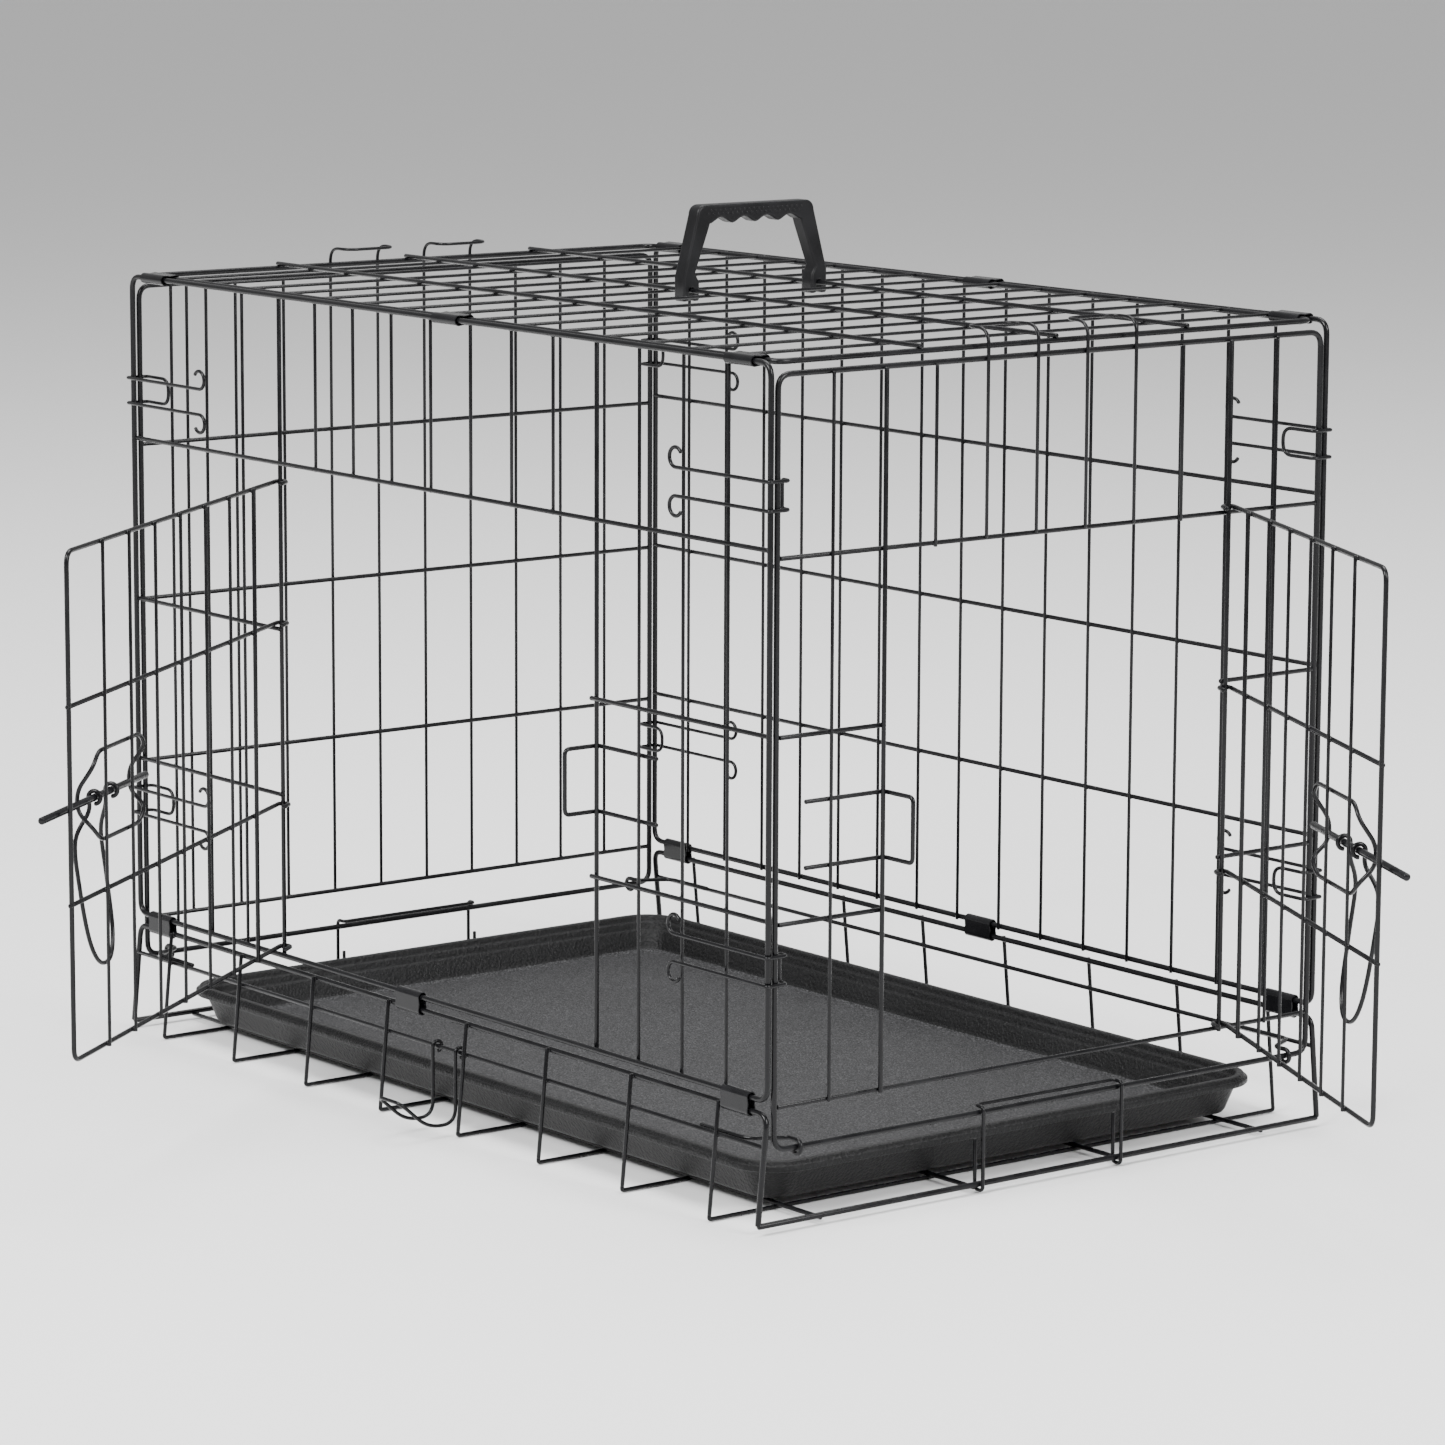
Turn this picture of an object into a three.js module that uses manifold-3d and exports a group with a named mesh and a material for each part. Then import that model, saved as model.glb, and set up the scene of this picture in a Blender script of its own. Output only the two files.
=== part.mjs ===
// Folding wire dog crate with two doors, a plastic tray and a carry handle.
// Millimetres, +Z up. X is the long direction and Y the short one. The front door is in the long panel at -Y,
// the end door in the end panel at +X. The code below measures from the floor under the middle of the crate;
// the origin of the part is one bay along +X from there, under the middle of a wire on which the crate stands.
import * as THREE from "three";
import { mergeVertices } from "three/addons/utils/BufferGeometryUtils.js";
import Module from "manifold-3d";

const wasm = await Module();
wasm.setup();

// ---- driving dimensions ----

// wires
const frameWire = 4; // frames of the panels and of the base
const barWire = 3.2; // headers, rails, long bars and base wires
const fillWire = 2.4; // uprights and cross wires
const legWire = 2.8; // U wires of the base
const clipWire = 2.6; // corner clips, tray stops and fold hook
const catchWire = 3; // door catches, keepers and the loops on the bolts
const doorWire = 3.4; // door frames
const boltRod = 5; // bolt rods

// crate
const panelLength = 752; // between the corner posts of a long panel, centre to centre
const crateDepth = 480; // between the two long panels, centre to centre
const panelHeight = 474; // between the bottom and top rails of a long panel
const baysLong = 16; // spaces between uprights along a long panel
const baysShort = 11; // spaces between uprights along an end panel
const cornerRadius = 10;
const hingeSpacing = 9; // between two rails that one hinge clip holds

// base
const baseRailHeight = 78; // top rail of the base
const midRailHeight = 57;
const baseFlare = 7; // how far the side of the base leans out at the floor
const endWireHeight = 5.6; // the base's end wires, clear of the floor for the tray stops
const floorWireRows = 4; // long wires under the tray

// front panel
const frontOpeningFirst = 4; // uprights at the two edges of the front doorway
const frontOpeningLast = 12;
const frontRails = [323.5, 204]; // heights of the short rails beside the doorway

// end panels
const endInset = 5.5; // from a long panel to the post of an end panel, centre to centre
const endRailDrop = 7.5; // top rail of an end panel below the top rail of a long panel
const pivotHeight = 54; // bottom rail of an end panel, on which it folds
const sillHeight = 82.5;
const endHeaderHeight = 437;
const endRails = [322.5, 201.5];
const endOpeningFirst = 2;
const endOpeningLast = 9;
const topHookPairs = [4, 6]; // first upright of each pair that ends in a top hook
const topHookRise = 12;
const topHookReach = 24;

// top panel
const topEndInset = 5; // end wires of the top panel, inside the end panels
const topBays = 4; // spaces between the long bars
const topWireRise = 0.9; // cross wires above the middle of the frame wire

// doors
const doorOverlap = 4; // of the free edge past the edge upright of the doorway
const doorEndBay = 1.2; // last space at the free edge, in bays
const doorRailOverhang = 3;
const knuckleWrap = 3.9; // radius of the hooks on the hinge upright, and from there to the door's plane
const knuckleTail = 8.5; // how far a hook comes back past the hinge upright
const frontDoor = { bottom: 92.2, top: 428.5, rails: [327.3, 196.2], uprights: 7, inset: 50 };
const endDoor = { bottom: 86, top: 441, rails: [318, 191.5], uprights: 6, inset: 38 };

// slide bolts, measured back from the free edge of their door
const frontDoorState = { opened: 54, boltHeight: 257 };
const endDoorState = { opened: 65, boltHeight: 252 };
const rodClearance = 3; // between the rod and the frame of the door, over the running gap
const boltBack = 150; // inner end of the rod
const boltReach = 30; // outer end of the rod past the free edge
const keeperCentre = 86;
const keeperWidth = 90;
const keeperTop = 33; // above the rod
const keeperBottom = 27; // below the rod
const loopCentre = 74; // of the loop that hangs from the rod
const loopSpread = 29; // between the two eyes of the loop
const loopWidth = 46;
const loopDrop = 112;
const loopBow = 11; // how far the loop bows out from the door
const catchLength = 65; // of the legs of a catch along its panel
const catchBend = 3.4;
const frontCatch = { low: 247, high: 291, reach: 20 }; // reach past the panel
const endCatch = { low: 236, high: 279, reach: 30 };

// corner clips
const clipLegGap = 18.5; // between the two legs of a corner clip
const clipHeights = [163, 468]; // lower leg of the lower and upper clips
const clipBays = 2; // how many uprights a leg reaches past
const clipInside = 7.5; // from the post of the end panel to the part of a clip inside the crate
const clipReturn = 30; // how far that part comes back along the long panel
const clipReturnNear = 8; // the same, at the corner between the two doors
const curlRadius = 6.5;

// hinge clips
const hingeClipLength = 28.5;
const hingeClipSheet = 0.9;
const hingeClipInset = 30.5; // middle of an outer clip from the corner post

// end pivots, tray stops and fold hook
const pivotArm = 70;
const pivotEyeInset = 9; // of the eye from the post of the end panel
const stopTail = 30;
const foldHookX = 25;
const foldHookWidth = 27;
const foldHookReach = 46;
const foldHookTip = 28; // height of the hook's tip

// tray
const trayLength = 704;
const trayWidth = 446;
const trayHeight = 28.5;
const trayWall = 2.6;
const trayRim = 7; // width of the rim
const trayRimDepth = 7;
const trayCorner = 34;

// carry handle
const handleX = -23.5; // middle of a bay of the top panel
const handleThickness = 12;
const handleTop = 60; // above the long bars
const handleGrip = 12.5; // depth of the grip
const handleArm = 10; // width of the arms
const handleFoot = 14;
const handleFootHeight = 17;
const handleFootDrop = 7.5; // of a foot below the bar that it grips
const handleLean = 10; // how far each foot stands out past the grip
const fingerScallops = 4;

// clearances
const gap = 0.3; // between two pieces that only touch
const weld = 0.15; // how deep two welded wires sink into each other
const running = 0.4; // round a piece that turns

// ---- derived places ----

const halfX = panelLength / 2;
const halfY = crateDepth / 2;
const bayX = panelLength / baysLong;
const lowRail = baseRailHeight + hingeSpacing;
const topRail = lowRail + panelHeight;
const header = topRail - panelHeight / 4;
const endHalfY = halfY - endInset;
const bayY = (2 * endHalfY) / baysShort;
const endTopRail = topRail - endRailDrop;
const topHalfX = halfX - topEndInset;
const topHalfY = halfY - hingeSpacing;
const floorY = halfY + baseFlare;

const uprightX = (i) => -halfX + i * bayX;
const uprightY = (i) => -endHalfY + i * bayY;

// Wires have a square section of nearly the same area as the round one; this is half its side.
const half = (wire) => 0.45 * wire;
const touching = (a, b) => half(a) + half(b) + gap;
const welded = (a, b) => half(a) + half(b) - weld;

// ---- geometry helpers ----

// A curve through given vertices, whose parameter steps from vertex to vertex.
class Route extends THREE.Curve {
  constructor(vertices, closed = false) {
    super();
    this.vertices = vertices;
    this.closed = closed;
    this.steps = closed ? vertices.length : vertices.length - 1;
  }

  vertex(i) {
    const count = this.vertices.length;
    const wrapped = this.closed ? (i + count) % count : Math.min(Math.max(i, 0), count - 1);
    return this.vertices[wrapped];
  }

  getPoint(t, target = new THREE.Vector3()) {
    return target.copy(this.vertex(Math.round(t * this.steps)));
  }

  getPointAt(u, target) {
    return this.getPoint(u, target);
  }

  getTangentAt(u, target = new THREE.Vector3()) {
    const i = Math.round(u * this.steps);
    return target.subVectors(this.vertex(i + 1), this.vertex(i - 1)).normalize();
  }

  // Turns the frames by an eighth of a turn, so that a four-sided tube lies flat on its neighbours.
  computeFrenetFrames(segments, closed) {
    const frames = super.computeFrenetFrames(segments, closed);
    if (this.closed) {
      frames.tangents.forEach((tangent, i) => {
        frames.normals[i].applyAxisAngle(tangent, Math.PI / 4);
        frames.binormals[i].crossVectors(tangent, frames.normals[i]);
      });
    }
    return frames;
  }
}

const point = (x, y, z) => new THREE.Vector3(x, y, z);

// Rounds the corners of a polyline; `radius` is how far each bend reaches along its two sides.
function roundedVertices(corners, radius, closed, bendSteps = 3) {
  const vertices = [];
  corners.forEach((corner, i) => {
    const atEnd = !closed && (i === 0 || i === corners.length - 1);
    if (atEnd) {
      vertices.push(corner);
      return;
    }
    const before = corners[(i - 1 + corners.length) % corners.length];
    const after = corners[(i + 1) % corners.length];
    const room = 0.48 * Math.min(corner.distanceTo(before), corner.distanceTo(after));
    const reach = Math.min(radius, room);
    const start = corner.clone().addScaledVector(before.clone().sub(corner).normalize(), reach);
    const end = corner.clone().addScaledVector(after.clone().sub(corner).normalize(), reach);
    vertices.push(...new THREE.QuadraticBezierCurve3(start, corner, end).getPoints(bendSteps));
  });
  return vertices;
}

// A closed polygon with the area of a circle of the given diameter, flat side down.
function wireSection(diameter, sides) {
  const radius = sides === 4 ? half(diameter) * Math.SQRT2 : diameter / 2;
  const turn = (2 * Math.PI) / sides;
  const corners = [];
  for (let i = 0; i < sides; i += 1) {
    const angle = (i + 0.5) * turn;
    corners.push(new THREE.Vector2(radius * Math.cos(angle), radius * Math.sin(angle)));
  }
  return new THREE.Shape(corners);
}

// The closed manifold of a three.js geometry.
function solid(geometry) {
  const plain = geometry.clone();
  plain.deleteAttribute("normal");
  plain.deleteAttribute("uv");
  const merged = mergeVertices(plain, 1e-3);
  const positions = new Float32Array(merged.attributes.position.array);
  const triangles = new Uint32Array(merged.index.array);
  const build = () =>
    new wasm.Manifold(new wasm.Mesh({ numProp: 3, vertProperties: positions, triVerts: triangles }));
  const made = build();
  if (made.volume() > 0) return made;
  for (let i = 0; i < triangles.length; i += 3) {
    [triangles[i + 1], triangles[i + 2]] = [triangles[i + 2], triangles[i + 1]];
  }
  return build();
}

const joined = (solids) => solids.reduce((whole, piece) => whole.add(piece));

// An open wire through `corners`, with rounded bends.
function wire(corners, diameter, { bend = 0, sides = 4, bendSteps = 3 } = {}) {
  const vertices = bend > 0 ? roundedVertices(corners, bend, false, bendSteps) : corners;
  const route = new Route(vertices);
  const section = wireSection(diameter, sides);
  return solid(
    new THREE.ExtrudeGeometry(section, { steps: route.steps, extrudePath: route, curveSegments: 1 }),
  );
}

// A closed loop of wire through `corners`, with rounded bends.
function loop(corners, diameter, bend, bendSteps = 3) {
  const route = new Route(roundedVertices(corners, bend, true, bendSteps), true);
  return solid(new THREE.TubeGeometry(route, route.steps, half(diameter) * Math.SQRT2, 4, true));
}

// Vertices on an arc, from one angle to another in degrees; `place` turns (cos, sin) * radius into a point.
function arc(radius, from, to, steps, place) {
  const vertices = [];
  for (let i = 0; i <= steps; i += 1) {
    const angle = THREE.MathUtils.degToRad(from + ((to - from) * i) / steps);
    vertices.push(place(radius * Math.cos(angle), radius * Math.sin(angle)));
  }
  return vertices;
}

const range = (first, last, step = 1) => {
  const numbers = [];
  for (let i = first; i <= last; i += step) numbers.push(i);
  return numbers;
};

// ---- the assembly and its materials ----

const crate = new THREE.Group();
const coatedSteel = { color: 0x1b1c1e, roughness: 0.42, metalness: 0.25 };
const blackPlastic = { color: 0x17181a, roughness: 0.6, metalness: 0 };
const trayPlastic = { color: 0x2b2c2e, roughness: 0.75, metalness: 0 };

function addPiece(name, piece, finish = coatedSteel, parent = crate) {
  const made = piece.getMesh();
  const geometry = new THREE.BufferGeometry();
  geometry.setAttribute("position", new THREE.BufferAttribute(new Float32Array(made.vertProperties), 3));
  geometry.setIndex(new THREE.BufferAttribute(new Uint32Array(made.triVerts), 1));
  geometry.computeVertexNormals();
  const mesh = new THREE.Mesh(geometry, new THREE.MeshStandardMaterial(finish));
  mesh.name = name;
  parent.add(mesh);
  return mesh;
}

// ---- long panels ----

function longPanelFrame(y) {
  const corners = [
    point(-halfX, y, lowRail),
    point(halfX, y, lowRail),
    point(halfX, y, topRail),
    point(-halfX, y, topRail),
  ];
  return loop(corners, frameWire, cornerRadius);
}

// The front panel is one welded panel; its wires are grouped by the side of the doorway that they fill.
function buildFrontPanel() {
  const fillY = -halfY + touching(frameWire, fillWire);
  const edgeY = -halfY + half(frameWire) + gap + barWire / 2;
  const railY = edgeY - barWire / 2 - half(barWire) + weld;
  const headerY = fillY - touching(fillWire, barWire);
  const shortY = headerY + welded(fillWire, barWire);
  const postFace = halfX - half(frameWire) - gap;
  const edgeWire = (i) =>
    wire([point(uprightX(i), edgeY, lowRail), point(uprightX(i), edgeY, topRail)], barWire, { sides: 8 });
  const fullUpright = (i) =>
    wire([point(uprightX(i), fillY, lowRail), point(uprightX(i), fillY, topRail)], fillWire);
  const rail = (x1, x2, z) => wire([point(x1, railY, z), point(x2, railY, z)], barWire);

  addPiece("front_panel_frame", longPanelFrame(-halfY));

  const headerPieces = [wire([point(-postFace, headerY, header), point(postFace, headerY, header)], barWire)];
  for (const i of range(frontOpeningFirst + 1, frontOpeningLast - 1)) {
    const top = topRail - half(frameWire) - gap;
    headerPieces.push(wire([point(uprightX(i), shortY, header), point(uprightX(i), shortY, top)], fillWire));
  }
  addPiece("front_panel_header", joined(headerPieces));

  const edgeOverhang = barWire / 2 + 1;
  addPiece(
    "front_panel_left_grille",
    joined([
      edgeWire(frontOpeningFirst),
      ...range(1, frontOpeningFirst - 1).map(fullUpright),
      ...frontRails.map((z) => rail(-postFace, uprightX(frontOpeningFirst) + edgeOverhang, z)),
    ]),
  );
  addPiece(
    "front_panel_right_grille",
    joined([
      edgeWire(frontOpeningLast),
      ...range(frontOpeningLast + 1, baysLong - 1).map(fullUpright),
      ...frontRails.map((z) => rail(uprightX(frontOpeningLast) - edgeOverhang, postFace, z)),
    ]),
  );

  const innerY = edgeY + barWire / 2 + gap + half(catchWire);
  const loopX = uprightX(frontOpeningLast) - barWire / 2 - gap - half(catchWire);
  const tailX = loopX + catchLength;
  const { low, high, reach } = frontCatch;
  addPiece(
    "front_door_catch",
    wire(
      [
        point(tailX, innerY, high),
        point(loopX, innerY, high),
        point(loopX, -halfY - reach, high),
        point(loopX, -halfY - reach, low),
        point(loopX, innerY, low),
        point(tailX, innerY, low),
      ],
      catchWire,
      { bend: catchBend },
    ),
  );
}

function buildRearPanel() {
  const fillY = halfY - welded(frameWire, fillWire);
  const railY = fillY + welded(fillWire, barWire);
  const rails = range(1, 3).map((i) => lowRail + (i * panelHeight) / 4);
  addPiece(
    "rear_panel",
    joined([
      longPanelFrame(halfY),
      ...range(1, baysLong - 1).map((i) =>
        wire([point(uprightX(i), fillY, lowRail), point(uprightX(i), fillY, topRail)], fillWire),
      ),
      ...rails.map((z) => wire([point(-halfX, railY, z), point(halfX, railY, z)], barWire)),
    ]),
  );
}

// ---- end panels ----

function endPanelFrame(x) {
  const corners = [
    point(x, -endHalfY, pivotHeight),
    point(x, endHalfY, pivotHeight),
    point(x, endHalfY, endTopRail),
    point(x, -endHalfY, endTopRail),
  ];
  return loop(corners, frameWire, cornerRadius);
}

// Two uprights of an end panel are one hairpin, which arches over the end wire of the top panel.
function topHook(side, first, bottom) {
  const x = side * (halfX + touching(frameWire, fillWire));
  const tipX = x - side * topHookReach;
  const top = topRail + topHookRise;
  const [y1, y2] = [uprightY(first), uprightY(first + 1)];
  return wire(
    [
      point(x, y1, bottom),
      point(x, y1, top),
      point(tipX, y1, top),
      point(tipX, y2, top),
      point(x, y2, top),
      point(x, y2, bottom),
    ],
    fillWire,
    { bend: 11 },
  );
}

function buildDoorEnd() {
  const fillX = halfX + touching(frameWire, fillWire);
  const edgeX = halfX + half(frameWire) + gap + barWire / 2;
  const railX = edgeX - barWire / 2 - half(barWire) + weld;
  const headerX = fillX - touching(fillWire, barWire);
  const shortX = headerX + welded(fillWire, barWire);
  const postFace = endHalfY - half(frameWire) - gap;
  const sillEnd = sillHeight - half(barWire);
  const edgeWire = (i) =>
    wire([point(edgeX, uprightY(i), sillEnd), point(edgeX, uprightY(i), endTopRail)], barWire, { sides: 8 });
  const fullUpright = (i) =>
    wire([point(fillX, uprightY(i), sillEnd), point(fillX, uprightY(i), endTopRail)], fillWire);
  const rail = (y1, y2, z) => wire([point(railX, y1, z), point(railX, y2, z)], barWire);

  addPiece("door_end_frame", endPanelFrame(halfX));
  addPiece(
    "door_end_sill",
    wire([point(headerX, -postFace, sillHeight), point(headerX, postFace, sillHeight)], barWire),
  );

  const shortTop = endTopRail - half(frameWire) - gap;
  const headerPieces = [
    wire([point(headerX, -postFace, endHeaderHeight), point(headerX, postFace, endHeaderHeight)], barWire),
  ];
  for (const i of [endOpeningFirst + 1, endOpeningLast - 1]) {
    const y = uprightY(i);
    headerPieces.push(wire([point(shortX, y, endHeaderHeight), point(shortX, y, shortTop)], fillWire));
  }
  addPiece("door_end_header", joined(headerPieces));

  const edgeOverhang = barWire / 2 + 1;
  addPiece(
    "door_end_near_grille",
    joined([
      edgeWire(endOpeningFirst),
      ...range(1, endOpeningFirst - 1).map(fullUpright),
      ...endRails.map((z) => rail(-postFace, uprightY(endOpeningFirst) + edgeOverhang, z)),
    ]),
  );
  addPiece(
    "door_end_far_grille",
    joined([
      edgeWire(endOpeningLast),
      ...range(endOpeningLast + 1, baysShort - 1).map(fullUpright),
      ...endRails.map((z) => rail(uprightY(endOpeningLast) - edgeOverhang, postFace, z)),
    ]),
  );

  topHookPairs.forEach((first, i) => {
    addPiece(["door_end_hook_near", "door_end_hook_far"][i], topHook(1, first, endHeaderHeight));
  });

  const innerX = edgeX - barWire / 2 - gap - half(catchWire);
  const loopY = uprightY(endOpeningFirst) + barWire / 2 + gap + half(catchWire);
  const tailY = loopY - catchLength;
  const { low, high, reach } = endCatch;
  addPiece(
    "door_end_catch",
    wire(
      [
        point(innerX, tailY, high),
        point(innerX, loopY, high),
        point(halfX + reach, loopY, high),
        point(halfX + reach, loopY, low),
        point(innerX, loopY, low),
        point(innerX, tailY, low),
      ],
      catchWire,
      { bend: catchBend },
    ),
  );
}

function buildBackEnd() {
  const fillX = -halfX - welded(frameWire, fillWire);
  const railX = fillX + welded(fillWire, barWire);
  const sillEnd = sillHeight - half(barWire);
  const hooked = topHookPairs.flatMap((first) => [first, first + 1]);
  const plain = range(1, baysShort - 1).filter((i) => !hooked.includes(i));
  const rails = [sillHeight, ...endRails, endHeaderHeight];
  addPiece(
    "back_end_panel",
    joined([
      endPanelFrame(-halfX),
      ...rails.map((z) => wire([point(railX, -endHalfY, z), point(railX, endHalfY, z)], barWire)),
      ...plain.map((i) =>
        wire([point(fillX, uprightY(i), sillEnd), point(fillX, uprightY(i), endTopRail)], fillWire),
      ),
    ]),
  );
  topHookPairs.forEach((first, i) => {
    addPiece(["back_end_hook_near", "back_end_hook_far"][i], topHook(-1, first, sillEnd));
  });
}

// ---- top panel and carry handle ----

const topWireHeight = topRail + topWireRise;
const topBarHeight = topWireHeight + welded(fillWire, barWire);
const topBarY = (i) => -topHalfY + (2 * topHalfY * i) / topBays;

function buildTopPanel() {
  const frame = loop(
    [
      point(-topHalfX, -topHalfY, topRail),
      point(topHalfX, -topHalfY, topRail),
      point(topHalfX, topHalfY, topRail),
      point(-topHalfX, topHalfY, topRail),
    ],
    frameWire,
    cornerRadius,
  );
  const crossWires = range(1, baysLong - 1).map((i) =>
    wire([point(uprightX(i), -topHalfY, topWireHeight), point(uprightX(i), topHalfY, topWireHeight)], fillWire),
  );
  const barEnd = topHalfX + 2;
  const bars = range(1, topBays - 1).map((i) =>
    wire([point(-barEnd, topBarY(i), topBarHeight), point(barEnd, topBarY(i), topBarHeight)], barWire),
  );
  addPiece("top_panel", joined([frame, ...crossWires, ...bars]));
}

// A moulded handle whose two feet clip on neighbouring long bars, with a finger scallop under each finger.
function buildCarryHandle() {
  const y1 = topBarY(topBays / 2);
  const y2 = topBarY(topBays / 2 + 1);
  const footTop = topBarHeight - handleFootDrop + handleFootHeight;
  const bottom = topBarHeight - handleFootDrop;
  const top = topBarHeight + handleTop;
  const footHalf = handleFoot / 2;
  const armHalf = handleArm / 2;
  const shoulderY1 = y1 + handleLean;
  const shoulderY2 = y2 - handleLean;
  const underside = top - handleGrip;
  const chamfer = 5;

  const profile = new THREE.Shape();
  profile.moveTo(y1 - footHalf, bottom);
  profile.lineTo(y1 + footHalf, bottom);
  profile.lineTo(y1 + footHalf, footTop);
  const scallopStart = shoulderY1 + armHalf + 2;
  const scallop = (shoulderY2 - armHalf - 2 - scallopStart) / fingerScallops;
  profile.lineTo(shoulderY1 + armHalf, underside - 2);
  profile.lineTo(scallopStart, underside - 1);
  for (let i = 0; i < fingerScallops; i += 1) {
    const left = scallopStart + i * scallop;
    profile.lineTo(left + 0.3 * scallop, underside + 3);
    profile.lineTo(left + 0.7 * scallop, underside + 3);
    profile.lineTo(left + scallop, underside - 1);
  }
  profile.lineTo(shoulderY2 - armHalf, underside - 2);
  profile.lineTo(y2 - footHalf, footTop);
  profile.lineTo(y2 - footHalf, bottom);
  profile.lineTo(y2 + footHalf, bottom);
  profile.lineTo(y2 + footHalf, footTop);
  profile.lineTo(shoulderY2 + armHalf, top - chamfer);
  profile.lineTo(shoulderY2 + armHalf - chamfer, top);
  profile.lineTo(shoulderY1 - armHalf + chamfer, top);
  profile.lineTo(shoulderY1 - armHalf, top - chamfer);
  profile.lineTo(y1 - footHalf, footTop);
  const body = new THREE.ExtrudeGeometry(profile, { depth: handleThickness, bevelEnabled: false });
  // the profile's x and y become Y and Z, and its depth becomes X
  body.applyMatrix4(new THREE.Matrix4().makeBasis(point(0, 1, 0), point(0, 0, 1), point(1, 0, 0)));
  body.translate(handleX - handleThickness / 2, 0, 0);

  const slot = barWire + 2 * gap;
  const slotTop = topBarHeight + half(barWire) + gap;
  let handle = solid(body);
  for (const y of [y1, y2]) {
    const cut = new THREE.BoxGeometry(2 * handleThickness, slot, slotTop - bottom + 1);
    cut.translate(handleX, y, (slotTop + bottom - 1) / 2);
    handle = handle.subtract(solid(cut));
  }
  addPiece("carry_handle", handle, blackPlastic);
}

// ---- base ----

// How far the leaning side of the base stands out at a height.
const sideY = (z) => halfY + (baseFlare * (baseRailHeight - z)) / (baseRailHeight - endWireHeight);
const legCentre = (z) => sideY(z) + welded(frameWire, legWire);
const midRailY = legCentre(midRailHeight) - welded(legWire, barWire);
const legWires = range(1, baysLong - 1, 2);
const floorWireZ = half(legWire);
const longWireZ = floorWireZ + welded(legWire, barWire);
const floorRowPitch = (2 * floorY) / (floorWireRows - 0.2);

function buildBaseSide(name, side) {
  const postFoot = endWireHeight + half(frameWire) + 2 * gap;
  const legFoot = 2 * half(legWire) + 2 * gap;
  const outer = wire(
    [
      point(-halfX, side * sideY(postFoot), postFoot),
      point(-halfX, side * halfY, baseRailHeight),
      point(halfX, side * halfY, baseRailHeight),
      point(halfX, side * sideY(postFoot), postFoot),
    ],
    frameWire,
    { bend: 9 },
  );
  const midRail = wire(
    [point(-halfX, side * midRailY, midRailHeight), point(halfX, side * midRailY, midRailHeight)],
    barWire,
  );
  const legs = legWires.map((i) =>
    wire(
      [
        point(uprightX(i), side * legCentre(baseRailHeight), baseRailHeight),
        point(uprightX(i), side * legCentre(legFoot), legFoot),
      ],
      legWire,
    ),
  );
  addPiece(name, joined([outer, midRail, ...legs]));
}

function buildBaseFloor() {
  const endWires = [-halfX, halfX].map((x) =>
    wire([point(x, -floorY, endWireHeight), point(x, floorY, endWireHeight)], frameWire),
  );
  const legEnd = legCentre(floorWireZ) + half(legWire);
  const crossWires = legWires.map((i) =>
    wire([point(uprightX(i), -legEnd, floorWireZ), point(uprightX(i), legEnd, floorWireZ)], legWire),
  );
  const rows = range(0, floorWireRows - 1).map((i) => (i - (floorWireRows - 1) / 2) * floorRowPitch);
  const longWires = rows.map((y) => wire([point(-halfX, y, longWireZ), point(halfX, y, longWireZ)], barWire));
  addPiece("base_floor", joined([...endWires, ...crossWires, ...longWires]));
}

// An arm on the side of the base, with an eye in which the bottom rail of an end panel turns.
function pivotArmWire() {
  const eyeRadius = half(frameWire) * Math.SQRT2 + running + half(barWire) * 1.08;
  const eyeY = -endHalfY + cornerRadius + pivotEyeInset;
  const armY = -(midRailY - 2 * half(barWire) - gap);
  const z = pivotHeight + eyeRadius;
  const start = [
    point(halfX - pivotArm, armY, z),
    point(halfX - 22, armY, z),
    point(halfX - 10, eyeY, z),
  ];
  const eye = arc(eyeRadius, 90, -180, 6, (a, b) => point(halfX + a, eyeY, pivotHeight + b));
  return wire([...start, ...eye], barWire);
}

// ---- hinge clips ----

// A sheet-metal sleeve that holds two parallel rails; `across` is the direction from the first to the second.
function hingeClip(x, y, z, across) {
  const inner = half(frameWire) * Math.SQRT2 + gap;
  const stadium = (radius) => {
    const end = (centre, from) => arc(radius, from, from + 180, 3, (a, b) => new THREE.Vector2(centre + a, b));
    return [...end(hingeSpacing, -90), ...end(0, 90)];
  };
  const profile = new THREE.Shape(stadium(inner + hingeClipSheet));
  profile.holes.push(new THREE.Path(stadium(inner / Math.cos(Math.PI / 6))));
  const sleeve = new THREE.ExtrudeGeometry(profile, { depth: hingeClipLength, bevelEnabled: false });
  const along = point(1, 0, 0);
  const up = new THREE.Vector3().crossVectors(along, across);
  sleeve.applyMatrix4(new THREE.Matrix4().makeBasis(across, up, along));
  sleeve.translate(x - hingeClipLength / 2, y, z);
  return solid(sleeve);
}

function buildHingeClips() {
  const outer = halfX - hingeClipInset;
  const edges = [
    { name: "top_front", y: -halfY, z: topRail, across: point(0, 1, 0), middle: bayX / 2 },
    { name: "top_rear", y: halfY, z: topRail, across: point(0, -1, 0), middle: bayX / 2 },
    { name: "bottom_front", y: -halfY, z: lowRail, across: point(0, 0, -1), middle: -bayX / 2 },
    { name: "bottom_rear", y: halfY, z: lowRail, across: point(0, 0, -1), middle: bayX / 2 },
  ];
  for (const edge of edges) {
    const places = { left: -outer, middle: edge.middle, right: outer };
    for (const [place, x] of Object.entries(places)) {
      addPiece(`hinge_clip_${edge.name}_${place}`, hingeClip(x, edge.y, edge.z, edge.across));
    }
  }
}

// ---- corner clips ----

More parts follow.
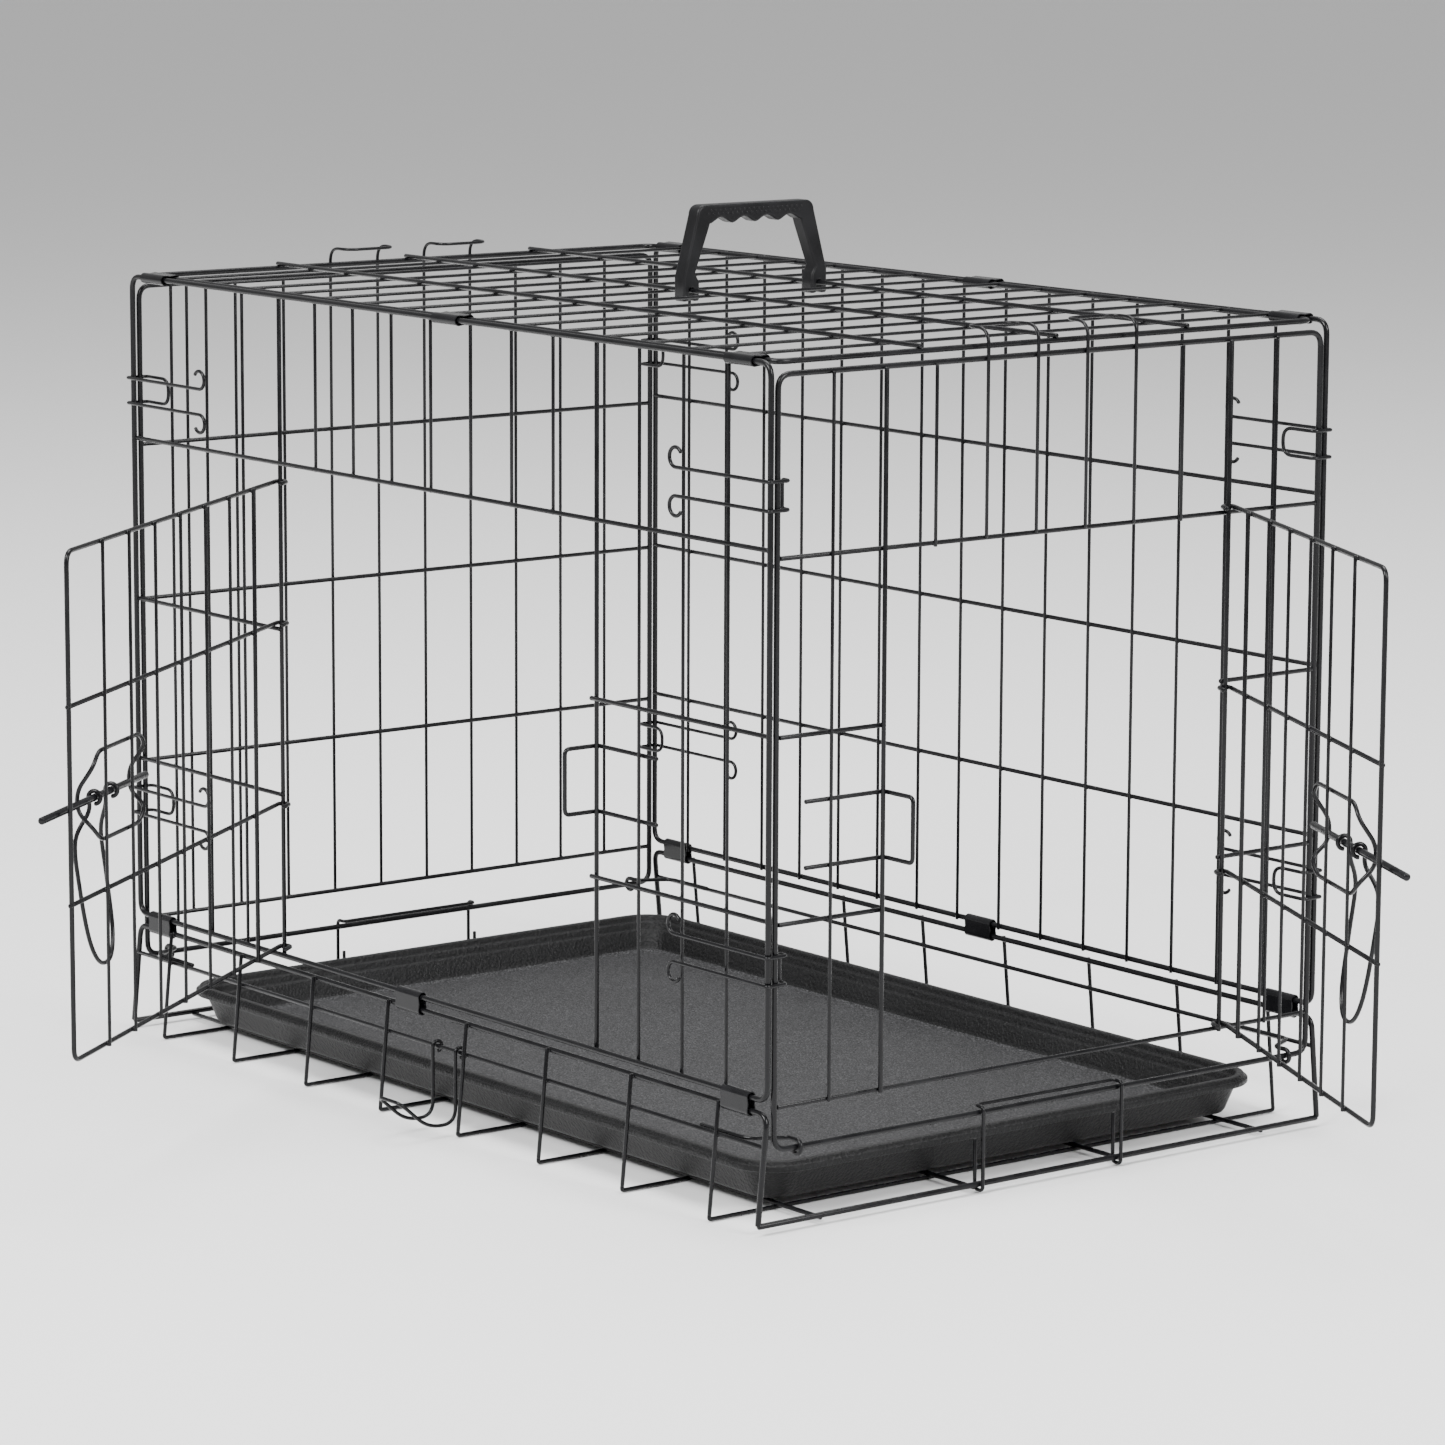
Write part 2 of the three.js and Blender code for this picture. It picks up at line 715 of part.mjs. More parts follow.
// A wire bent round the two corner posts at +X, -Y. Its two legs lie along the outside of the long panel and
// end in curls; inside the crate it comes back by `back` millimetres and turns in a hairpin.
function cornerClip(bottom, back) {
  const legY = -halfY - touching(frameWire, clipWire);
  const outX = halfX + touching(frameWire, clipWire);
  const innerY = -endHalfY + clipInside;
  const endX = halfX - clipBays * bayX;
  const top = bottom + clipLegGap;
  const curl = (z, turn) =>
    arc(curlRadius, 30, 270, 4, (a, b) => point(endX + a, legY, z + turn * (curlRadius + b)));
  const corner = (z) =>
    roundedVertices([point(endX, legY, z), point(outX, legY, z), point(outX, innerY, z)], 0.9, false, 1);
  const hairpin = roundedVertices(
    [
      point(outX, legY, top),
      point(outX, innerY, top),
      point(outX - back, innerY, top),
      point(outX - back, innerY, bottom),
      point(outX, innerY, bottom),
      point(outX, legY, bottom),
    ],
    4,
    false,
    2,
  );
  const legIn = [...curl(top, 1), ...corner(top).slice(1, -1)];
  const legOut = [...corner(bottom).slice(1, -1).reverse(), ...curl(bottom, -1).reverse()];
  return wire([...legIn, ...hairpin.slice(1, -1), ...legOut], clipWire);
}

function buildCorners() {
  const arm = pivotArmWire();
  const ends = { door_end: 1, back_end: -1 };
  const sides = { front: 1, rear: -1 };
  for (const [endName, alongX] of Object.entries(ends)) {
    for (const [sideName, alongY] of Object.entries(sides)) {
      const near = endName === "door_end" && sideName === "front";
      const [lower, upper] = clipHeights.map((z) => cornerClip(z, near ? clipReturnNear : clipReturn));
      const corner = new THREE.Group();
      corner.scale.set(alongX, alongY, 1);
      crate.add(corner);
      addPiece(`pivot_arm_${endName}_${sideName}`, arm, coatedSteel, corner);
      addPiece(`corner_clip_lower_${endName}_${sideName}`, lower, coatedSteel, corner);
      addPiece(`corner_clip_upper_${endName}_${sideName}`, upper, coatedSteel, corner);
    }
  }
}

// ---- doors and slide bolts ----

// A door lies in its own frame: the hinge axis at x = 0 and y = 0, the free edge towards +x, and its
// outside towards side * y.
function doorPlaces(doorway, side, boltHeight) {
  const free = doorway + doorOverlap;
  return { free, side, plane: side * knuckleWrap, boltHeight };
}

function buildDoor(name, door, places, parent) {
  const { free, side, plane } = places;
  const fillY = plane - side * welded(doorWire, fillWire);
  const edgeY = plane - side * welded(doorWire, barWire);
  const bay = (free - door.inset) / (door.uprights - 1 + doorEndBay);
  const knuckle = (z) => [
    ...arc(knuckleWrap, 90, 270, 4, (a, b) => point(a, side * b, z)),
    point(knuckleTail, -plane, z),
  ];
  const rail = (z, diameter) => wire([point(free + doorRailOverhang, plane, z), ...knuckle(z)], diameter);
  const frame = [
    ...knuckle(door.top).reverse(),
    ...roundedVertices(
      [
        point(free / 2, plane, door.top),
        point(free, plane, door.top),
        point(free, plane, door.bottom),
        point(free / 2, plane, door.bottom),
      ],
      9,
      false,
    ).slice(1, -1),
    ...knuckle(door.bottom),
  ];
  const uprights = range(0, door.uprights - 1).map((i) => {
    const x = door.inset + i * bay;
    const y = i === 0 ? edgeY : fillY;
    return wire([point(x, y, door.bottom), point(x, y, door.top)], i === 0 ? barWire : fillWire);
  });
  addPiece(
    name,
    joined([wire(frame, doorWire), ...door.rails.map((z) => rail(z, barWire)), ...uprights]),
    coatedSteel,
    parent,
  );
}

const rodStandoff = half(doorWire) + gap + running + rodClearance + boltRod / 2;

// The keeper is a closed wire loop on the uprights, whose two sides bow out over the rod.
function buildKeeper(name, places, parent) {
  const { free, side, plane, boltHeight } = places;
  const flat = plane - side * (welded(doorWire, fillWire) - touching(fillWire, catchWire) - gap);
  const bow = plane + side * (rodStandoff + boltRod / 2 + 2 * running + half(catchWire));
  const centre = free - keeperCentre;
  const waist = keeperWidth / 2;
  const bowHeight = boltRod + 2;
  const halfLoop = (turn) => [
    point(centre + turn * (waist - 12), flat, boltHeight - keeperBottom),
    point(centre + turn * waist, flat, boltHeight - keeperBottom + 9),
    point(centre + turn * waist, bow, boltHeight - bowHeight),
    point(centre + turn * waist, bow, boltHeight + bowHeight),
    point(centre + turn * waist, flat, boltHeight + keeperTop - 9),
    point(centre + turn * (waist - 9), flat, boltHeight + keeperTop),
  ];
  const corners = [...halfLoop(1), ...halfLoop(-1).reverse()];
  addPiece(name, loop(corners, catchWire, 6, 2), coatedSteel, parent);
}

// The rod slides in the keeper; its loop hangs from two eyes on the rod and turns up and out to be pulled.
function buildBolt(name, places, parent) {
  const { free, side, plane, boltHeight } = places;
  const rodY = plane + side * rodStandoff;
  const ends = [free - boltBack, free + boltReach].map((x) => point(x, rodY, boltHeight));
  addPiece(`${name}_rod`, wire(ends, boltRod, { sides: 10 }), coatedSteel, parent);

  const centre = free - loopCentre;
  const eyeRadius = boltRod / 2 + running + half(catchWire) * 1.1;
  const spots = [
    { out: loopSpread / 2, bow: eyeRadius, down: 10 },
    { out: loopWidth / 2 - 1, bow: loopBow, down: 0.26 * loopDrop },
    { out: loopWidth / 2, bow: 0.7 * loopBow, down: 0.55 * loopDrop },
    { out: loopWidth / 2 - 3, bow: 0.25 * loopBow, down: 0.85 * loopDrop },
    { out: 9, bow: 0, down: loopDrop },
  ];
  const leg = (turn) => [
    ...arc(eyeRadius, 0, -270, 6, (a, b) =>
      point(centre + (turn * loopSpread) / 2, rodY + side * b, boltHeight - a),
    ),
    ...spots.map(({ out, bow, down }) => point(centre + turn * out, rodY + side * bow, boltHeight - down)),
  ];
  addPiece(`${name}_loop`, wire([...leg(1), ...leg(-1).reverse()], catchWire), coatedSteel, parent);
}

function buildDoors() {
  const frontHinge = new THREE.Group();
  const hingeY = -halfY + half(frameWire) + gap + barWire / 2;
  frontHinge.position.set(uprightX(frontOpeningFirst), hingeY, 0);
  frontHinge.rotation.z = -THREE.MathUtils.degToRad(frontDoorState.opened);
  crate.add(frontHinge);
  const front = doorPlaces((frontOpeningLast - frontOpeningFirst) * bayX, -1, frontDoorState.boltHeight);
  buildDoor("front_door", frontDoor, front, frontHinge);
  buildKeeper("front_bolt_keeper", front, frontHinge);
  buildBolt("front_bolt", front, frontHinge);

  const endHinge = new THREE.Group();
  const hingeX = halfX + half(frameWire) + gap + barWire / 2;
  endHinge.position.set(hingeX, uprightY(endOpeningLast), 0);
  endHinge.rotation.z = THREE.MathUtils.degToRad(endDoorState.opened - 90);
  crate.add(endHinge);
  const end = doorPlaces((endOpeningLast - endOpeningFirst) * bayY, 1, endDoorState.boltHeight);
  buildDoor("end_door", endDoor, end, endHinge);
  buildKeeper("end_bolt_keeper", end, endHinge);
  buildBolt("end_bolt", end, endHinge);
}

// ---- fold hook and tray stops ----

// A J-shaped wire that hangs from the mid rail on two eyes, and holds the folded panels together.
function buildFoldHook() {
  const eyeRadius = half(barWire) * Math.SQRT2 + running + half(clipWire) * 1.08;
  const legY = -midRailY - eyeRadius;
  const low = 8;
  const leg = (turn) => {
    const x = foldHookX + (turn * foldHookWidth) / 2;
    const eye = arc(eyeRadius, -90, 180, 6, (a, b) => point(x, -midRailY + a, midRailHeight + b));
    const hook = roundedVertices(
      [
        eye[eye.length - 1],
        point(x, legY, low),
        point(x, legY - foldHookReach / 2, low),
        point(x, legY - foldHookReach, foldHookTip),
        point(foldHookX, legY - foldHookReach, foldHookTip),
      ],
      12,
      false,
    );
    return [...eye.slice(0, -1), ...hook.slice(0, -1)];
  };
  addPiece("fold_hook", wire([...leg(-1), ...leg(1).reverse()], clipWire));
}

// A U wire that turns on the end wire of the base and lies over the bottom rail of the end panel.
function trayStop() {
  const wrap = half(frameWire) * Math.SQRT2 + running + half(clipWire);
  const out = halfX + wrap;
  const inside = halfX - wrap;
  const under = endWireHeight - wrap;
  const over = pivotHeight + half(frameWire) + running + half(clipWire) + 1;
  const leg = (turn) => {
    const y = turn * (floorRowPitch / 2 - touching(barWire, clipWire) - 1);
    return [
      point(inside, y, endWireHeight + stopTail),
      point(inside, y, under),
      point(out, y, under),
      point(out, y, over),
      point(inside, y, over),
    ];
  };
  return wire([...leg(-1), ...leg(1).reverse()], clipWire, { bend: 3.2, bendSteps: 2 });
}

function buildTrayStops() {
  const stop = trayStop();
  addPiece("tray_stop_door_end", stop);
  const mirrored = new THREE.Group();
  mirrored.scale.set(-1, 1, 1);
  crate.add(mirrored);
  addPiece("tray_stop_back_end", stop, coatedSteel, mirrored);
}

// ---- tray ----

function roundedBlock(length, width, radius, bottom, height) {
  const shape = new THREE.Shape();
  const x = length / 2;
  const y = width / 2;
  const quarter = Math.PI / 2;
  shape.absarc(x - radius, y - radius, radius, 0, quarter);
  shape.absarc(radius - x, y - radius, radius, quarter, 2 * quarter);
  shape.absarc(radius - x, radius - y, radius, 2 * quarter, 3 * quarter);
  shape.absarc(x - radius, radius - y, radius, 3 * quarter, 4 * quarter);
  const block = new THREE.ExtrudeGeometry(shape, { depth: height, bevelEnabled: false, curveSegments: 5 });
  block.translate(0, 0, bottom);
  return solid(block);
}

function buildTray() {
  const bottom = endWireHeight + half(frameWire) + gap;
  const panLength = trayLength - 2 * trayRim;
  const panWidth = trayWidth - 2 * trayRim;
  const panCorner = trayCorner - trayRim;
  const pan = roundedBlock(panLength, panWidth, panCorner, bottom, trayHeight);
  const rimBottom = bottom + trayHeight - trayRimDepth;
  const rim = roundedBlock(trayLength, trayWidth, trayCorner, rimBottom, trayRimDepth);
  const hollow = roundedBlock(
    panLength - 2 * trayWall,
    panWidth - 2 * trayWall,
    panCorner - trayWall,
    bottom + trayWall,
    trayHeight,
  );
  addPiece("tray", pan.add(rim).subtract(hollow), trayPlastic);
}

buildFrontPanel();
buildRearPanel();
buildDoorEnd();
buildBackEnd();
buildTopPanel();
buildCarryHandle();
buildBaseFloor();
buildBaseSide("base_front_side", -1);
buildBaseSide("base_rear_side", 1);
buildHingeClips();
buildCorners();
buildDoors();
buildFoldHook();
buildTrayStops();
buildTray();

const part = new THREE.Group();
part.add(crate);
crate.position.x = -bayX;

export default part;
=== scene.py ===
"""Looks of the folding wire dog crate: round bent wires, moulded tray and handle, floor, light and camera."""
import math
import bmesh
import bpy
from mathutils import Matrix, Vector


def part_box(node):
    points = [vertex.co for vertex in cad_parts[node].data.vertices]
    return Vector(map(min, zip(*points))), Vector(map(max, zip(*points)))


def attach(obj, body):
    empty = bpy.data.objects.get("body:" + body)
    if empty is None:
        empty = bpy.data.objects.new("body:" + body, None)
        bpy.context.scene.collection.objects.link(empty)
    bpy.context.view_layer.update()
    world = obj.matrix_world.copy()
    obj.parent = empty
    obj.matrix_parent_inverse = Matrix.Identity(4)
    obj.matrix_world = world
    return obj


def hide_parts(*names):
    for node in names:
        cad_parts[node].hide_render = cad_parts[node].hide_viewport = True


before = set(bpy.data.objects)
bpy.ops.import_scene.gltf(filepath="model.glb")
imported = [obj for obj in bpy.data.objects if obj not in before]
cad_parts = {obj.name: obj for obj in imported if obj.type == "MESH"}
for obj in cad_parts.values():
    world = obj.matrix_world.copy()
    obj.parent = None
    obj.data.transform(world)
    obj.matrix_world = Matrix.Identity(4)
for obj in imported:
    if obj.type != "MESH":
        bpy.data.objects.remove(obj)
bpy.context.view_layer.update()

# ---- layout of the wires, in millimetres from the floor under the middle of the crate ----

FRAME_WIRE, BAR_WIRE, FILL_WIRE, LEG_WIRE = 4.0, 3.2, 2.4, 2.8
CLIP_WIRE, CATCH_WIRE, DOOR_WIRE, BOLT_ROD = 2.6, 3.0, 3.4, 5.0
GAP, WELD, RUNNING = 0.3, 0.15, 0.4
HALF_X, HALF_Y = 376.0, 240.0
BAYS_LONG, BAYS_SHORT = 16, 11
BAY_X = 2 * HALF_X / BAYS_LONG
CORNER, HINGE_SPACING = 10.0, 9.0
BASE_RAIL, MID_RAIL, BASE_FLARE, END_WIRE = 78.0, 57.0, 7.0, 5.6
LOW_RAIL = BASE_RAIL + HINGE_SPACING
PANEL_HEIGHT = 474.0
TOP_RAIL = LOW_RAIL + PANEL_HEIGHT
HEADER = TOP_RAIL - PANEL_HEIGHT / 4
FRONT_RAILS = (323.5, 204.0)
FRONT_OPENING, END_OPENING = (4, 12), (2, 9)
END_HALF_Y = HALF_Y - 5.5
BAY_Y = 2 * END_HALF_Y / BAYS_SHORT
END_TOP = TOP_RAIL - 7.5
PIVOT, SILL, END_HEADER = 54.0, 82.5, 437.0
END_RAILS = (322.5, 201.5)
HOOK_PAIRS, HOOK_RISE, HOOK_REACH = (4, 6), 12.0, 24.0
TOP_HALF_X, TOP_HALF_Y = HALF_X - 5, HALF_Y - HINGE_SPACING
FLOOR_ROW = 2 * (HALF_Y + BASE_FLARE) / 3.8
LEG_WIRES = range(1, BAYS_LONG, 2)
KNUCKLE = 3.9
FRONT_DOOR = {"bottom": 92.2, "top": 428.5, "rails": (327.3, 196.2), "uprights": 7, "inset": 50.0,
              "opened": 54.0, "bolt": 257.0}
END_DOOR = {"bottom": 86.0, "top": 441.0, "rails": (318.0, 191.5), "uprights": 6, "inset": 38.0,
            "opened": 65.0, "bolt": 252.0}
FRONT_CATCH = {"low": 247.0, "high": 291.0, "reach": 20.0}
END_CATCH = {"low": 236.0, "high": 279.0, "reach": 30.0}
CATCH_LENGTH, CATCH_BEND = 65.0, 4.0
DOOR_OVERLAP, RAIL_OVERHANG, KNUCKLE_TAIL = 4.0, 3.0, 8.5
ROD_CLEARANCE, ROD_BACK, ROD_REACH = 3.0, 150.0, 30.0
KEEPER_BACK, KEEPER_HALF, KEEPER_ABOVE, KEEPER_BELOW = 86.0, 45.0, 33.0, 27.0
LOOP_BACK, LOOP_EYE, LOOP_DROP = 74.0, 14.5, 112.0
CLIP_HEIGHTS, CLIP_GAP, CLIP_INSIDE, CLIP_CURL = (163.0, 468.0), 18.5, 7.5, 6.5
CLIP_RETURN, CLIP_RETURN_NEAR = 30, 8
FOLD_HOOK_X, FOLD_HOOK_HALF, FOLD_HOOK_REACH, FOLD_HOOK_LOW, FOLD_HOOK_TIP = 25.0, 13.5, 46.0, 8.0, 28.0
HANDLE_X = -23.5

rear_low, rear_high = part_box("rear_panel")
MIDDLE = Matrix.Translation(((rear_low.x + rear_high.x) * 500, 0, 0))
TO_METRES = Matrix.Scale(0.001, 4)


def half(wire):
    """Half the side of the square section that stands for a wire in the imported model."""
    return 0.45 * wire


def touching(a, b):
    return half(a) + half(b) + GAP


def welded(a, b):
    return half(a) + half(b) - WELD


def upright_x(i):
    return -HALF_X + i * BAY_X


def upright_y(i):
    return -END_HALF_Y + i * BAY_Y


def at(x, y, z):
    return Vector((x, y, z))


# ---- materials ----

def node_material(name, color, roughness):
    """A Principled material and its shader, whose own sockets are set."""
    made = bpy.data.materials.new(name)
    made.use_nodes = True
    shader = made.node_tree.nodes["Principled BSDF"]
    shader.inputs["Base Color"].default_value = (*color, 1)
    shader.inputs["Roughness"].default_value = roughness
    return made, shader


def object_noise(material, scale, detail=3.0, kind="ShaderNodeTexNoise"):
    nodes, links = material.node_tree.nodes, material.node_tree.links
    place = nodes.new("ShaderNodeTexCoord")
    texture = nodes.new(kind)
    texture.inputs["Scale"].default_value = scale
    if "Detail" in texture.inputs:
        texture.inputs["Detail"].default_value = detail
    links.new(place.outputs["Object"], texture.inputs["Vector"])
    return texture


def mapped(material, source, low, high, start, end):
    """Stretches one output between two input values to two output values."""
    node = material.node_tree.nodes.new("ShaderNodeMapRange")
    node.inputs["From Min"].default_value = low
    node.inputs["From Max"].default_value = high
    node.inputs["To Min"].default_value = start
    node.inputs["To Max"].default_value = end
    material.node_tree.links.new(source, node.inputs["Value"])
    return node.outputs["Result"]


def colors_between(material, source, stops):
    ramp = material.node_tree.nodes.new("ShaderNodeValToRGB")
    while len(ramp.color_ramp.elements) < len(stops):
        ramp.color_ramp.elements.new(0.5)
    for element, (position, color) in zip(ramp.color_ramp.elements, stops):
        element.position = position
        element.color = (*color, 1)
    material.node_tree.links.new(source, ramp.inputs["Fac"])
    return ramp.outputs["Color"]


def bumped(material, shader, source, strength, distance):
    bump = material.node_tree.nodes.new("ShaderNodeBump")
    bump.inputs["Strength"].default_value = strength
    bump.inputs["Distance"].default_value = distance
    material.node_tree.links.new(source, bump.inputs["Height"])
    material.node_tree.links.new(bump.outputs["Normal"], shader.inputs["Normal"])


def coated_steel(name, tone=1.0, smooth=0.24):
    """Black electrocoat over steel wire: soft grey highlights, faint orange peel, drawn-wire mottling."""
    made, shader = node_material(name, (0.004, 0.004, 0.005), smooth)
    links = made.node_tree.links
    broad = object_noise(made, 60, 4)
    shade = colors_between(made, broad.outputs["Fac"], [
        (0.3, (0.0025 * tone, 0.0025 * tone, 0.003 * tone)),
        (0.7, (0.006 * tone, 0.006 * tone, 0.007 * tone)),
    ])
    links.new(shade, shader.inputs["Base Color"])
    peel = object_noise(made, 900, 2)
    rough = mapped(made, broad.outputs["Fac"], 0.3, 0.7, smooth - 0.06, smooth + 0.1)
    links.new(rough, shader.inputs["Roughness"])
    bumped(made, shader, peel.outputs["Fac"], 0.12, 0.0004)
    shader.inputs["Specular IOR Level"].default_value = 0.22
    return made


def handle_plastic():
    """Satin black polypropylene with a fine spark-eroded texture."""
    made, shader = node_material("handle_plastic", (0.005, 0.005, 0.006), 0.4)
    links = made.node_tree.links
    grain = object_noise(made, 2600, 2)
    cloudy = object_noise(made, 45, 3)
    rough = mapped(made, cloudy.outputs["Fac"], 0.3, 0.7, 0.34, 0.46)
    links.new(rough, shader.inputs["Roughness"])
    shade = colors_between(made, cloudy.outputs["Fac"], [
        (0.3, (0.004, 0.004, 0.0045)),
        (0.75, (0.007, 0.007, 0.008)),
    ])
    links.new(shade, shader.inputs["Base Color"])
    bumped(made, shader, grain.outputs["Fac"], 0.25, 0.0003)
    shader.inputs["Specular IOR Level"].default_value = 0.2
    return made


def tray_plastic(name, dark, light, speck, rough_low, rough_high, grain_depth):
    """Recycled charcoal plastic: pebbled, with fine light speckles."""
    made, shader = node_material(name, (0.012, 0.012, 0.013), 0.5)
    links = made.node_tree.links
    pebbles = object_noise(made, 420, kind="ShaderNodeTexVoronoi")
    specks = object_noise(made, 900, 3)
    cloudy = object_noise(made, 11, 4)
    base = colors_between(made, cloudy.outputs["Fac"], [
        (0.3, (dark, dark, dark * 1.06)),
        (0.7, (light, light, light * 1.06)),
    ])
    lights = colors_between(made, specks.outputs["Fac"], [
        (0.45, (0.0, 0.0, 0.0)),
        (0.75, (speck, speck, speck * 1.03)),
    ])
    mix = made.node_tree.nodes.new("ShaderNodeMix")
    mix.data_type = "RGBA"
    mix.blend_type = "ADD"
    mix.inputs["Factor"].default_value = 1.0
    links.new(base, mix.inputs[6])
    links.new(lights, mix.inputs[7])
    links.new(mix.outputs[2], shader.inputs["Base Color"])
    rough = mapped(made, cloudy.outputs["Fac"], 0.3, 0.7, rough_low, rough_high)
    links.new(rough, shader.inputs["Roughness"])
    shader.inputs["Specular IOR Level"].default_value = 0.2
    bumped(made, shader, pebbles.outputs["Distance"], 0.6, grain_depth)
    return made


STEEL = coated_steel("coated_steel")
ROD_STEEL = coated_steel("coated_steel_rod", 1.3, 0.22)
SHEET_STEEL = coated_steel("coated_steel_sheet", 1.15, 0.2)
HANDLE = handle_plastic()
TRAY = tray_plastic("tray_plastic", 0.003, 0.006, 0.004, 0.3, 0.42, 0.0008)
# The floor copy of the same plastic is lighter, with brighter speckles: painted light for the light falling
# on the upward-facing floor.
TRAY_FLOOR_LIT = tray_plastic("tray_plastic_floor_lit", 0.010, 0.016, 0.075, 0.5, 0.66, 0.0011)

# ---- meshes ----

def rounded(corners, reach, closed=False, steps=6):
    """Rounds the corners of a polyline; `reach` is how far a bend goes along each of its two sides."""
    path = []
    count = len(corners)
    for i, corner in enumerate(corners):
        if not closed and i in (0, count - 1):
            path.append(corner.copy())
            continue
        before, after = corners[i - 1], corners[(i + 1) % count]
        room = 0.48 * min((corner - before).length, (corner - after).length)
        start = corner + (before - corner).normalized() * min(reach, room)
        end = corner + (after - corner).normalized() * min(reach, room)
        for k in range(steps + 1):
            t = k / steps
            path.append(start * (1 - t) ** 2 + corner * (2 * t * (1 - t)) + end * t * t)
    return path


def smoothed(points, steps):
    """A Catmull-Rom curve through the points."""
    count = len(points)
    path = []
    for i in range(count - 1):
        p = [points[min(max(i + k, 0), count - 1)] for k in (-1, 0, 1, 2)]
        for s in range(steps):
            t = s / steps
            slope = (p[2] - p[0]) * t
            square = (2 * p[0] - 5 * p[1] + 4 * p[2] - p[3]) * t * t
            cube = (3 * p[1] - p[0] - 3 * p[2] + p[3]) * t ** 3
            path.append(0.5 * (2 * p[1] + slope + square + cube))
    path.append(points[-1].copy())
    return path


def arc(radius, first, last, steps, place):
    angles = [math.radians(first + (last - first) * i / steps) for i in range(steps + 1)]
    return [place(radius * math.cos(angle), radius * math.sin(angle)) for angle in angles]


class Shape:
    """Collects tubes, beads and lofted rings in one mesh."""

    def __init__(self):
        self.vertices = []
        self.faces = []

    def ring(self, points):
        first = len(self.vertices)
        self.vertices.extend(points)
        return list(range(first, first + len(points)))

    def band(self, a, b):
        count = len(a)
        for i in range(count):
            self.faces.append((a[i], a[(i + 1) % count], b[(i + 1) % count], b[i]))

    def wire(self, path, diameter, closed=False, sides=14):
        """A round wire along a path, with slightly broken edges where it was cut off."""
        path = [p for i, p in enumerate(path) if i == 0 or (p - path[i - 1]).length > 1e-4]
        if closed and (path[0] - path[-1]).length < 1e-4:
            path.pop()
        count = len(path)
        tangents = []
        for i in range(count):
            after = path[(i + 1) % count] if closed else path[min(i + 1, count - 1)]
            before = path[i - 1] if closed else path[max(i - 1, 0)]
            tangents.append((after - before).normalized())
        normals = [tangents[0].orthogonal().normalized()]
        for i in range(1, count):
            turn = tangents[i - 1].rotation_difference(tangents[i])
            normals.append((turn @ normals[-1]).normalized())
        twist = 0.0
        if closed:
            last = tangents[-1].rotation_difference(tangents[0]) @ normals[-1]
            side = tangents[0].cross(normals[0])
            twist = math.atan2(last.dot(side), last.dot(normals[0]))
        radius = diameter / 2
        rings = []

        def section(centre, tangent, normal, size):
            other = tangent.cross(normal)
            turns = [2 * math.pi * (k + 0.5) / sides for k in range(sides)]
            return self.ring([centre + (normal * math.cos(a) + other * math.sin(a)) * size for a in turns])

        for i in range(count):
            normal = Matrix.Rotation(-twist * i / count, 3, tangents[i]) @ normals[i]
            if not closed and i in (0, count - 1):
                inward = tangents[i] * (1 if i == 0 else -1)
                ends = [
                    section(path[i], tangents[i], normal, radius * 0.72),
                    section(path[i] + inward * radius * 0.12, tangents[i], normal, radius * 0.9),
                    section(path[i] + inward * radius * 0.38, tangents[i], normal, radius),
                ]
                rings.extend(ends if i == 0 else reversed(ends))
            else:
                rings.append(section(path[i], tangents[i], normal, radius))
        for a, b in zip(rings, rings[1:]):
            self.band(a, b)
        if closed:
            self.band(rings[-1], rings[0])
        else:
            self.faces.append(tuple(reversed(rings[0])))
            self.faces.append(tuple(rings[-1]))

    def bead(self, centre, size):
        """The small upset nugget where two crossed wires are welded."""
        steps, sides = 5, 10
        rows = []
        for j in range(1, steps):
            lift = math.pi * j / steps
            rows.append(self.ring([
                centre + Vector((
                    size.x * math.sin(lift) * math.cos(2 * math.pi * k / sides),
                    size.y * math.sin(lift) * math.sin(2 * math.pi * k / sides),
                    size.z * math.cos(lift),
                ))
                for k in range(sides)
            ]))
        for a, b in zip(rows, rows[1:]):
            self.band(a, b)
        self.faces.append(tuple(rows[0]))
        self.faces.append(tuple(reversed(rows[-1])))

    def finish(self, name, node, body, material, slot, place=None, sharp=40):
        """Makes the object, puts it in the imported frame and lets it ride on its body."""
        matrix = TO_METRES @ MIDDLE @ (place or Matrix.Identity(4))
        mesh = bpy.data.meshes.new(name)
        mesh.from_pydata([matrix @ p for p in self.vertices], [], self.faces)
        shape = bmesh.new()
        shape.from_mesh(mesh)
        bmesh.ops.recalc_face_normals(shape, faces=shape.faces)
        shape.to_mesh(mesh)
        shape.free()
        mesh.materials.append(material)
        mesh.shade_smooth()
        mesh.set_sharp_from_angle(angle=math.radians(sharp))
        made = bpy.data.objects.new(name, mesh)
        bpy.context.scene.collection.objects.link(made)
        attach(made, body)
        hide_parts(node)
        return made


def steel(shape, node, body="crate", place=None, material=None):
    return shape.finish(node + "_wires", node, body, material or STEEL, "coated_steel", place)


def straight(shape, start, end, diameter):
    shape.wire([start, end], diameter)


# ---- long panels ----

def long_frame(shape, y):
    corners = [at(-HALF_X, y, LOW_RAIL), at(HALF_X, y, LOW_RAIL), at(HALF_X, y, TOP_RAIL),
               at(-HALF_X, y, TOP_RAIL)]
    shape.wire(rounded(corners, CORNER, True), FRAME_WIRE, True)


def weld_rows(shape, places, y, heights, size):
    for x in places:
        for z in heights:
            shape.bead(at(x, y, z), size)


